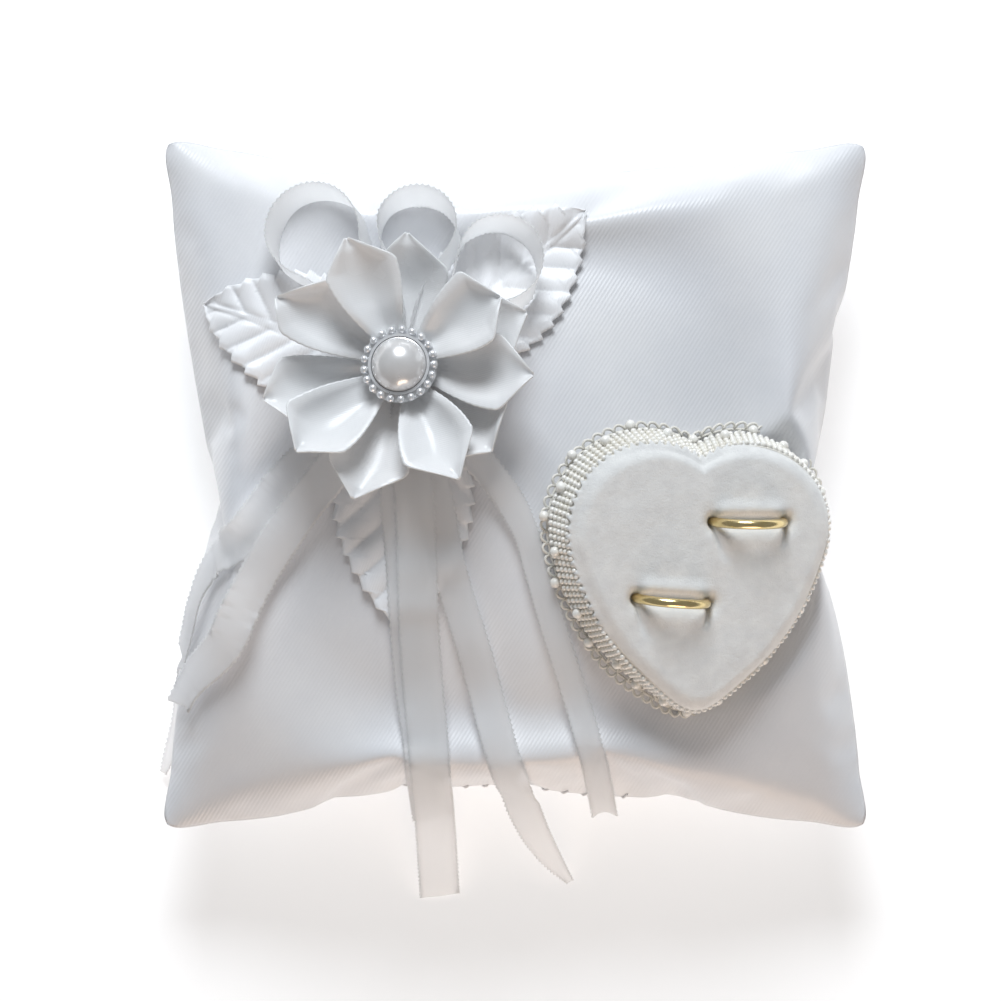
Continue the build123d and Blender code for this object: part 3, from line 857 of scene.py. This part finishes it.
def make_petal(petal):
    tier, angle = petal[0], petal[1]
    place = FLOWER @ Matrix.Rotation(math.radians(angle), 4, "Z")
    verts = []
    for row in range(PETAL_ROWS):
        u = row / (PETAL_ROWS - 1)
        for v in from_minus_one(PETAL_COLUMNS):
            x, y, z = petal_point(u, v, petal)
            if abs(v) > 0.85 and row % 2 and u < PETAL_CORNER:
                y += math.copysign(0.35, v)
                z += 0.25
            verts.append(place @ Vector((x * MM, y * MM, z * MM)))
    for back, (u, drop) in enumerate(PETAL_FOLD):
        for v in from_minus_one(PETAL_COLUMNS):
            x, y, z = petal_point(u, v * (0.98 - 0.03 * back), petal)
            verts.append(place @ Vector((x * MM, y * MM, (z - drop) * MM)))
    name = f"petal_{tier}_{angle:03d}"
    faces = grid_faces(PETAL_ROWS + len(PETAL_FOLD), PETAL_COLUMNS)
    obj = new_object(name + "_ribbon", verts, faces, materials["petal_satin"])
    subdivide(obj)
    thicken(obj, 0.35 * MM)
    stand_for(obj, "pillow", "petal_satin", name)


for petal_row in PETALS:
    make_petal(petal_row)


# ---- ribbons

RIBBON_PROFILE = [-1.0, -0.88, -0.78, -0.5, -0.25, 0.0, 0.25, 0.5, 0.78, 0.88, 1.0]
RIBBON_COLUMNS = len(RIBBON_PROFILE)
PICOT = 0.45 * MM
RIBBON_CLOTH = 0.22 * MM
RIBBON_MIN_WIDTH = 1.2 * MM
RIBBON_CLEARANCE = 0.35 * MM
CUT_ROWS = 5


def rest_on_support(point, gap):
    """Lifts a point to lie a gap above the cushion and leaves, and clear of the side."""
    hit, normal, _, _ = support.ray_cast(Vector((point.x, point.y, 0.2)), Vector((0, 0, -1)))
    if hit is not None and normal.z > 0.5 and hit.z + gap > point.z > hit.z - 9 * MM:
        point = Vector((point.x, point.y, hit.z + gap))
    return clear_of_cushion(point, gap)


def lay_down(samples, gap):
    """Pushes a ribbon's centre line out of what it lies on, and smooths it."""
    points = [Vector(sample[0:3]) for sample in samples]
    for _ in range(3):
        points = [rest_on_support(point, gap) for point in points]
        for _ in range(8):
            inner = [before * 0.25 + point * 0.5 + after * 0.25
                     for before, point, after in zip(points, points[1:], points[2:])]
            points = points[:1] + inner + points[-1:]
    for sample, point in zip(samples, points):
        sample[0:3] = point
        _, normal, _, distance = surface.find_nearest(point)
        hold = smoothstep(7 * MM, 2.5 * MM, distance)
        facing = Vector(sample[3:6]).lerp(normal, 0.8 * hold)
        sample[3:6] = facing.normalized()


def ribbon_object(name, stations, spacing, curl, end_cut=None, gap=None):
    """Picot-edged ribbon along stations of (point, facing, width), and its length; with a gap
    it lies on the cushion."""
    flat = [(*point, *facing, width) for point, facing, width in stations]
    rough = spline_samples(flat, 60)
    length = sum((Vector(b[:3]) - Vector(a[:3])).length for a, b in zip(rough, rough[1:]))
    count = max(12, round(length / spacing))
    samples = spline_samples(flat, count)
    if gap is not None:
        lay_down(samples, gap)
    verts = []
    for index, sample in enumerate(samples):
        point = Vector(sample[0:3])
        facing = Vector(sample[3:6])
        width = max(RIBBON_MIN_WIDTH, sample[6])
        ahead = Vector(samples[min(index + 1, count - 1)][0:3])
        ahead -= Vector(samples[max(index - 1, 0)][0:3])
        ahead.normalize()
        across = ahead.cross(facing).normalized()
        up = across.cross(ahead)
        for side in RIBBON_PROFILE:
            reach = side * width / 2
            selvedge = 0.0
            if abs(side) > 0.85 and index % 2:
                reach += math.copysign(PICOT * (abs(side) - 0.8) / 0.2, side)
                selvedge = 0.28 * MM
            bow = curl * width * (1 - side * side)
            place = Vector((index * spacing * 90, side * 1.2, length * 70))
            crease = 0.25 * MM * noise.noise(place)
            spot = point + across * reach + up * (bow + selvedge + crease)
            if end_cut and index >= count - CUT_ROWS:
                spot += ahead * end_cut(side) * (index - count + CUT_ROWS + 1) / CUT_ROWS
            verts.append(spot if gap is None else clear_of_cushion(spot, RIBBON_CLEARANCE))
    obj = new_object(name, verts, grid_faces(count, RIBBON_COLUMNS), materials["ribbon_satin"])
    return thicken(obj, RIBBON_CLOTH), length


# loops that stand on edge under the petals

LOOP_WIDTH = 10.0
LOOP_HEIGHT = 3.2
LOOP_LEAN = 25.0
LOOPS = {
    "ribbon_loop_left": ((-49.0, 61.0), 11.5),
    "ribbon_loop_middle": ((-24.0, 62.0), 9.6),
    "ribbon_loop_right": ((-4.0, 54.0), 10.5),
}


def loop_stations(centre, radius):
    """Hoop in the flower's plane: narrow neck out, round the bulb, neck back; leaning outwards."""
    ahead = Vector((centre[0] - FLOWER_CENTRE[0] / MM, centre[1] - FLOWER_CENTRE[1] / MM))
    reach = ahead.length
    place = FLOWER @ Matrix.Rotation(math.atan2(ahead.y, ahead.x), 4, "Z")
    neck = [(8.8, 0.5, 3.1, 3.0), (16.5, 1.8, 3.6, 5.0)]
    neck.append((reach - 0.95 * radius, 0.6 * radius, LOOP_HEIGHT, 0.85 * LOOP_WIDTH))
    bulb = []
    for angle in (100, 65, 32, 0, -32, -65, -100):
        turn = math.radians(angle)
        x = reach + radius * math.cos(turn)
        bulb.append((x, radius * math.sin(turn), LOOP_HEIGHT, LOOP_WIDTH))
    back = [(x, -y, z, width) for x, y, z, width in reversed(neck)]
    tilt = math.radians(LOOP_LEAN)
    tip = place.to_3x3() @ Vector((math.sin(tilt), 0, math.cos(tilt)))
    route = [(place @ Vector((x * MM, y * MM, (z + 1.2) * MM)), width * MM)
             for x, y, z, width in neck + bulb + back]
    stations = []
    for index, (point, width) in enumerate(route):
        ahead = route[min(index + 1, len(route) - 1)][0] - route[max(index - 1, 0)][0]
        stations.append((point, tip.cross(ahead).normalized(), width))
    return stations


for loop_name, (loop_centre, loop_radius) in LOOPS.items():
    loop, loop_length = ribbon_object(
        loop_name + "_cloth", loop_stations(loop_centre, loop_radius), 0.8 * MM, 0.02)
    stand_for(loop, "pillow", "ribbon_satin", loop_name)


# tails that lie on the face and hang past the edge

TAIL_WIDTH = 9.6


def on_face(x, y, lift, width=TAIL_WIDTH):
    """Station of a ribbon lying a given height above the decorated face."""
    hit, normal = cushion_top(x * MM, y * MM)
    formula = Vector((x * MM, y * MM, face_height(x * MM, y * MM)))
    if hit is None:
        hit, normal = formula, Vector((0, 0, 1))
    base = hit if hit.z > formula.z - 1.5 * MM else formula.lerp(hit, 0.6)
    return base + Vector((0, 0, lift * MM)), normal, width * MM


def hanging(x, y, z, facing, width=TAIL_WIDTH):
    """Station of a ribbon past the cushion's edge, with the way its upper side faces."""
    point = clear_of_cushion(Vector((x * MM, y * MM, z * MM)), 1.6 * MM)
    return point, Vector(facing).normalized(), width * MM


def from_flower(x, y, height, width=6.0):
    """Station under the petals, in the flower's plane, on the way to a place on the face."""
    ahead = Vector((x * MM - FLOWER_CENTRE[0], y * MM - FLOWER_CENTRE[1])).normalized()
    place = FLOWER @ Matrix.Rotation(math.atan2(ahead.y, ahead.x), 4, "Z")
    facing = FLOWER.to_3x3() @ Vector((0, 0, 1))
    near = (place @ Vector((7.0 * MM, 0, (height + 0.6) * MM)), facing, width * MM)
    far = (place @ Vector((17.0 * MM, 0, height * MM)), facing, (width + 2.5) * MM)
    return [near, far]


# gap to the cushion and height under the petals; stations on the face (x, y, lift and, if it
# differs, width); stations past the edge (x, y, z, facing, width); millimetres
TAILS = {
    "tail_left_outer": (0.9, 2.5,
        [(-52.5, 5.5, 2.5), (-60.0, -2.5, 1.8), (-67.5, -12.5, 2.0)],
        [(-74.0, -23.0, 36.5, (-0.8, -0.1, 0.6)), (-80.3, -36.0, 29.5, (-0.9, -0.1, 0.45)),
         (-84.0, -50.0, 18.0, (-0.95, -0.2, 0.25), 8.0),
         (-85.5, -62.0, 8.5, (-0.9, -0.3, 0.3), 6.0),
         (-89.0, -73.0, 2.0, (-0.6, -0.4, 0.7), 1.5)]),
    "tail_left_inner": (2.0, 3.4,
        [(-46.0, 3.0, 5.0), (-54.0, -7.0, 4.6), (-62.0, -19.0, 4.0), (-68.0, -30.0, 3.4),
         (-72.5, -40.0, 3.8)],
        [(-77.5, -48.5, 34.0, (-0.7, -0.2, 0.7)), (-80.5, -55.0, 28.5, (-0.8, -0.3, 0.5))]),
    "tail_centre_front": (2.1, 4.0,
        [(-25.0, -3.0, 5.6), (-24.4, -17.0, 3.0), (-24.0, -33.0, 2.9), (-23.0, -49.0, 2.9),
         (-21.8, -62.0, 3.1), (-21.2, -70.5, 3.8)],
        [(-20.6, -78.0, 33.0, (0, -0.7, 0.7)), (-20.0, -86.0, 21.0, (0, -0.9, 0.4)),
         (-19.5, -95.0, 8.5, (0, -0.85, 0.5)), (-19.0, -104.0, 1.6, (0, -0.45, 0.9))]),
    "tail_centre_back": (0.9, 3.2,
        [(-28.6, -3.0, 4.4), (-27.2, -17.0, 1.8), (-26.3, -33.0, 1.7), (-25.0, -49.0, 1.7),
         (-23.2, -62.0, 1.8), (-22.4, -70.0, 2.0)],
        [(-21.5, -77.3, 30.5, (0, -0.75, 0.65)), (-20.8, -83.0, 23.0, (0, -0.9, 0.4))]),
    "tail_centre_right": (0.9, 2.5,
        [(-19.6, -3.0, 3.6, 8.0), (-17.2, -17.0, 1.8, 8.0), (-14.0, -29.0, 1.8, 8.0),
         (-10.5, -40.0, 2.0, 8.0), (-7.0, -53.0, 2.0, 8.0), (-3.8, -65.0, 2.3, 8.0),
         (-1.6, -72.0, 3.2, 8.0)],
        [(1.5, -79.5, 31.0, (0.1, -0.75, 0.65), 8.0),
         (5.0, -87.5, 20.0, (0.2, -0.85, 0.45), 7.0), (9.2, -94.5, 9.5, (0.2, -0.8, 0.5), 5.0),
         (14.0, -100.5, 2.0, (0.2, -0.5, 0.85), 1.5)]),
    "tail_right": (0.9, 2.6,
        [(-5.6, 2.2, 4.2, 7.0), (-1.0, -4.6, 2.6, 7.0), (2.8, -12.0, 2.1, 6.0),
         (5.4, -21.0, 2.1, 6.0), (8.0, -30.0, 2.1, 6.0), (11.3, -41.0, 2.1, 6.0),
         (15.5, -54.0, 2.1, 6.0), (18.6, -65.0, 2.5, 6.0), (20.2, -71.5, 3.4, 6.0)],
        [(21.5, -77.5, 32.5, (0.05, -0.7, 0.7), 6.0),
         (22.4, -82.0, 26.0, (0.05, -0.85, 0.5), 6.0)]),
}

# hinge place, direction of the tail there, CAD body, root node
BUNDLES = {
    "tails_left": ((-46.0, 3.0, 52.49), (-0.6247, -0.7809, 0.0), "tail_root_left",
                   ["tail_left_outer", "tail_left_inner"]),
    "tails_centre": ((-25.0, -3.0, 57.9), (0.0, -1.0, 0.0), "tail_root_centre",
                     ["tail_centre_back", "tail_centre_right", "tail_centre_front"]),
    "tail_right": ((-5.6, 2.2, 58.1), (0.5603, -0.8283, 0.0), "tail_root_right", ["tail_right"]),
}
END_CUTS = {
    "tail_centre_front": lambda side: 0.6 * MM * side,
    "tail_right": lambda side: 2.2 * MM * side * side,
    "tail_left_inner": lambda side: 3.0 * MM * side,
    "tail_centre_back": lambda side: 2.0 * MM * side,
}

for bundle, (hinge, heading, root_node, members) in BUNDLES.items():
    hinge = Vector(hinge) * MM
    heading = Vector(heading)
    for member in members:
        gap, height, face_rows, edge_rows = TAILS[member]
        tail_stations = from_flower(*face_rows[0][:2], height)
        tail_stations += [on_face(*row) for row in face_rows]
        tail_stations += [hanging(*row) for row in edge_rows]
        tail, tail_length = ribbon_object(
            member + "_ribbon", tail_stations, 0.7 * MM, 0.03, END_CUTS.get(member), gap * MM)
        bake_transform(tail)
        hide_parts(member)
        if member == members[0]:
            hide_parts(root_node)


# ---- flower centre

for centre_node, finish in [
    ("flower_glue", "glue"),
    ("flower_backing", "backing_felt"),
    ("flower_core", "backing_felt"),
    ("ribbon_binding", "ribbon_satin"),
    ("pearl_setting", "silver_setting"),
    ("setting_beads", "silver_setting"),
    ("pearl_cabochon", "large_pearl"),
]:
    dress(centre_node, finish)


# ---- heart ring holder

FELT_TOP = 14.5
FELT_RINGS = 72
FELT_STEP = 0.55
FELT_ROUND = 1.4
# rings past the outline: growth, drop in millimetres, and whether the ring is pinked
FELT_EDGE = [(1.5, 1.0, 0), (2.1, 2.2, 0), (2.5, 3.4, 1)]
SLIT_CREASES = [(-1, 0.42, 11.0), (1, -0.22, 7.5)]
RINGS = {"ring_upper": (12.1, 15.2, 0.0), "ring_lower": (-7.2, -4.4, -4.0)}
RING_RADIUS = 10.0


def slit_dent(x, y):
    """Depth of the dent round the ring slits, with creases that run down from their ends."""
    depth = 0.0
    for cx, cy, turn in RINGS.values():
        cosine, sine = math.cos(math.radians(turn)), math.sin(math.radians(turn))
        along = (x - cx) * cosine + (y - cy) * sine
        across = -(x - cx) * sine + (y - cy) * cosine
        inside = smoothstep(RING_RADIUS + 1.2, RING_RADIUS - 0.6, abs(along))
        depth += 2.8 * inside * math.exp(-(across / 1.5) ** 2)
        for end, slope, reach in SLIT_CREASES:
            aside = along - end * RING_RADIUS
            depth += 1.8 * math.exp(-(aside / 1.7) ** 2 - (across / 2.2) ** 2)
            below = -across
            drift = aside - slope * below
            width = 0.45 + 0.09 * max(0.0, below)
            fade = smoothstep(0.0, 1.5, below) * smoothstep(reach, 0.3 * reach, below)
            depth += 1.9 * math.exp(-(drift / width) ** 2) * fade
        below_swell = math.exp(-((across + 4.0) / 2.4) ** 2) * smoothstep(9.0, 5.0, abs(along))
        above_swell = math.exp(-((across - 3.4) / 1.8) ** 2) * smoothstep(11.0, 6.0, abs(along))
        depth -= 0.6 * below_swell + 0.9 * above_swell
    return depth


def felt_height(x, y, share):
    """Soft top of the pad, rounded over at its edge; share is 1 at the outline."""
    z = FELT_TOP + 0.6 * (1 - share ** 3)
    roll = max(0.0, (share - 0.91) / 0.09)
    z -= FELT_ROUND * roll * roll
    z += 0.35 * noise.noise(Vector((x * 0.10, y * 0.10, 4.0)))
    return z - slit_dent(x, y) * smoothstep(1.0, 0.95, share)


def make_felt():
    """Felt top: rings of vertices from the middle out, then the pinked edge over the braid."""
    outline = heart_outline(0.8, FELT_STEP)
    count = len(outline) - len(outline) % 4
    outline = outline[:count]
    verts = []
    for ring in range(1, FELT_RINGS + 1):
        share = ring / FELT_RINGS
        for point in outline:
            spot = HEART_MIDDLE.lerp(point, share)
            verts.append(at_heart(spot, felt_height(spot.x, spot.y, share)))
    for grow, drop, pinked in FELT_EDGE:
        outer = heart_outline(grow, FELT_STEP)
        for index in range(count):
            point = outer[round(index * len(outer) / count) % len(outer)]
            out = outward(point)
            flange = smoothstep(0.55, 0.85, lean(out))
            wave = abs(index % 4 - 2) / 2 - 0.5
            point = point + out * pinked * wave * (0.7 + 0.9 * flange)
            height = FELT_TOP - FELT_ROUND - drop * (1 - 0.7 * flange)
            verts.append(at_heart(point, height + 0.25 * math.sin(index * 0.11)))
    faces = grid_faces(FELT_RINGS + len(FELT_EDGE), count, closed=True)
    verts.append(at_heart(HEART_MIDDLE, felt_height(*HEART_MIDDLE, 0.0)))
    middle = len(verts) - 1
    for index in range(count):
        faces.append((middle, index, (index + 1) % count)[::-1])
    obj = new_object("heart_felt_cover", verts, faces, materials["heart_felt"])
    return thicken(obj, 0.7 * MM, offset=-1.0)


def make_band(name, base, ring_at, levels, material):
    """Upright band whose rings follow the heart, thickened like cloth."""
    verts = []
    for level in levels:
        verts += ring_at(level)
    return new_object(name, verts, grid_faces(len(levels), len(base), closed=True), material)


def make_pad_side():
    """Soft side of the foam under the felt, slightly bulged."""
    base = heart_outline(0.0, 0.8)

    def ring_at(level):
        height, grow = level
        ring = heart_outline(grow, 0.8)
        return [at_heart(ring[round(index * len(ring) / len(base)) % len(ring)], height)
                for index in range(len(base))]

    levels = [(0.0, 0.3), (1.5, 0.7), (4.0, 1.0), (8.0, 1.0), (11.0, 0.8), (12.4, 0.5)]
    obj = make_band("heart_pad_side", base, ring_at, levels, materials["heart_felt"])
    return thicken(obj, 0.4 * MM)


felt = make_felt()
stand_for(felt, "pillow", "heart_felt", "heart_felt", "heart_foam")
stand_for(make_pad_side(), "pillow", "heart_felt", "heart_side_band")
dress("heart_board", "board")


# rings that stand in the slits

RING_BAND = 1.5
RING_WIDTH = 2.4
RING_SHOULDER = 0.5
RING_SEAT = 12.2
RING_SEGMENTS = 144


def make_ring(name):
    """Wedding band with a flat inside and a rounded outside, standing in its slit."""
    half = RING_WIDTH / 2
    inside = RING_RADIUS - RING_BAND
    profile = [(inside, half * t) for t in (-0.8, -0.4, 0.0, 0.4, 0.8)]
    profile += [(inside + 0.12, half * 0.97), (inside + RING_SHOULDER, half)]
    for step in range(1, 10):
        t = 1 - step / 5
        swell = (RING_BAND - RING_SHOULDER) * (1 - t * t) ** 0.6
        profile.append((inside + RING_SHOULDER + swell, half * t * 0.99))
    profile += [(inside + RING_SHOULDER, -half), (inside + 0.12, -half * 0.97)]
    x, y, turn = RINGS[name]
    place = HEART @ Matrix.Translation(Vector((x, y, RING_SEAT)) * MM)
    place = place @ Matrix.Rotation(math.radians(turn), 4, "Z")
    verts = []
    for segment in range(RING_SEGMENTS):
        angle = 2 * math.pi * segment / RING_SEGMENTS
        for radius, aside in profile:
            point = Vector((radius * math.cos(angle), aside, radius * math.sin(angle)))
            verts.append(place @ (point * MM))
    count = len(profile)
    faces = []
    for segment in range(RING_SEGMENTS):
        after = (segment + 1) % RING_SEGMENTS
        for index in range(count):
            side = (index + 1) % count
            faces.append((segment * count + index, segment * count + side,
                          after * count + side, after * count + index)[::-1])
    ring = new_object(name + "_band", verts, faces, materials["gold"])
    stand_for(ring, name, "gold", name)


for ring_name in RINGS:
    make_ring(ring_name)


# beaded braid

STRAND_ROWS = 5
STRAND_TOP = 12.0
STRAND_PITCH = 1.55
BRAID_TOP = 13.2
BRAID_GROW = 1.2
LARGE_PEARL_PITCH = 190.0 / 26


def braid_point(point, height, gap):
    """The braid flares on the heart's left and top, and hangs almost straight on the right."""
    out = outward(point)
    spread = 0.05 + 0.37 * smoothstep(0.15, 0.95, lean(out))
    return point + out * (spread * (BRAID_TOP - height) + gap)


def make_strands():
    for row in range(STRAND_ROWS):
        height = STRAND_TOP - STRAND_PITCH * (row + 0.5)
        places = []
        for index, point in enumerate(heart_outline(BRAID_GROW, 1.5)):
            shift = 0.22 * noise.noise(Vector((index * 0.7, row * 3.0, 1.0)))
            point = braid_point(point, height, 0.6 + shift)
            size = (0.72 + 0.06 * noise.noise(Vector((index * 1.3, row * 5.0, 8.0)))) * MM
            places.append((at_heart(point, height + 1.5 * shift), size))
        name = f"pearl_strand_{row + 1}"
        strand = balls(name + "_beads", places, materials["small_pearl"], rings=7, segments=10)
        stand_for(strand, "pillow", "small_pearl", name)


def make_tape():
    """Woven band that carries the strands, leaning out from under the felt."""
    base = heart_outline(BRAID_GROW, 0.8)

    def ring_at(height):
        return [at_heart(braid_point(point, height, 0.0), height) for point in base]

    levels = [12.2, 10.4, 8.5, 6.5, 4.4]
    tape = make_band("braid_tape_band", base, ring_at, levels, materials["lace"])
    stand_for(thicken(tape, 0.4 * MM), "pillow", "lace", "braid_tape")


def make_large_pearls():
    places = []
    for index, point in enumerate(heart_outline(BRAID_GROW, LARGE_PEARL_PITCH)):
        height = 3.2 + 3.4 * (index % 2)
        point = braid_point(point, height, 1.3)
        places.append((at_heart(point, height), 1.3 * MM))
    pearls = balls("large_pearl_beads", places, materials["small_pearl"], rings=12, segments=18)
    stand_for(pearls, "pillow", "large_pearl", "large_pearls")


def lace_outline(step):
    """Outer line of the lace, drawn in under the felt where the braid hangs straight."""
    line = []
    for point in heart_outline(5.0, step):
        out = outward(point)
        line.append(point - out * 2.4 * (1 - smoothstep(0.1, 0.6, lean(out))))
    return line


def make_lace():
    """Looped lace edging: scallops outside two cords, with short bars between them."""
    paths = []
    for line, height in [(heart_outline(2.2, 1.0), 1.2), (lace_outline(1.0), 1.3)]:
        paths.append(([at_heart(point, height) for point in line], True))
    inner = heart_outline(2.2, 1.9)
    outer = lace_outline(1.9)
    count = min(len(inner), len(outer))
    for index in range(count):
        a = inner[round(index * len(inner) / count) % len(inner)]
        b = outer[round((index + 0.5 * (-1) ** index) * len(outer) / count) % len(outer)]
        bar = [at_heart(a, 1.2), at_heart(a.lerp(b, 0.5), 1.6), at_heart(b, 1.3)]
        paths.append((bar, False))
    edge = lace_outline(2.9)
    for index, a in enumerate(edge):
        b = edge[(index + 1) % len(edge)]
        middle = a.lerp(b, 0.5)
        out = outward(middle)
        loop = []
        for step in range(9):
            turn = math.pi * step / 8
            spot = middle - (b - a) * 0.5 * math.cos(turn) + out * 1.9 * math.sin(turn)
            loop.append(at_heart(spot, 1.3 + 0.3 * math.sin(turn)))
        paths.append((loop, False))
    lace = tubes("lace_edging_threads", paths, 0.36 * MM, materials["lace"])
    stand_for(lace, "pillow", "lace", "lace_edging")


make_tape()
make_strands()
make_large_pearls()
make_lace()


# ---- floor, light and camera

FLOOR_GLOW = 0.4


def make_floor():
    shader = Shader("floor paper", Roughness=0.9, Emission_Strength=FLOOR_GLOW)
    shader.main.inputs["Emission Color"].default_value = (1, 1, 1, 1)
    shader.colour(shader.mixed(shader.noise(0.3, 2.0), (0.93, 0.93, 0.93), (0.95, 0.95, 0.95)))
    size = 4.0
    verts = [(-size, -size, 0), (size, -size, 0), (size, size, 0), (-size, size, 0)]
    floor = new_object("floor", verts, [(0, 1, 2, 3)], shader.material, smooth=False)
    floor.location.z = -0.2 * MM


def area_light(name, place, size, power, colour):
    light = bpy.data.lights.new(name, "AREA")
    light.shape = "DISK"
    light.size = size
    light.energy = power
    light.color = colour
    obj = bpy.data.objects.new(name, light)
    obj.location = place
    obj.rotation_euler = Vector(place).to_track_quat("Z", "Y").to_euler()
    scene.collection.objects.link(obj)


def make_light():
    world = bpy.data.worlds.new("studio")
    world.use_nodes = True
    background = world.node_tree.nodes["Background"]
    background.inputs["Color"].default_value = (0.95, 0.97, 1.0, 1)
    background.inputs["Strength"].default_value = 0.25
    scene.world = world
    area_light("key", (-0.08, 1.42, 1.05), 0.8, 25, (0.90, 0.95, 1.0))
    area_light("warm bounce", (0.2, -1.3, 0.35), 0.8, 7, (1.0, 0.78, 0.62))


def make_camera():
    """Straight above the pillow, far off with a long lens."""
    data = bpy.data.cameras.new("camera")
    sensor = 36.0
    distance = 2.5
    picture_width = 0.25
    data.sensor_width = sensor
    data.lens = sensor * distance / picture_width
    data.clip_end = 20
    camera = bpy.data.objects.new("camera", data)
    camera.location = (-3.6 * MM, -3.9 * MM, 40 * MM + distance)
    scene.collection.objects.link(camera)
    scene.camera = camera


make_floor()
make_light()
make_camera()
scene.view_settings.view_transform = "Standard"
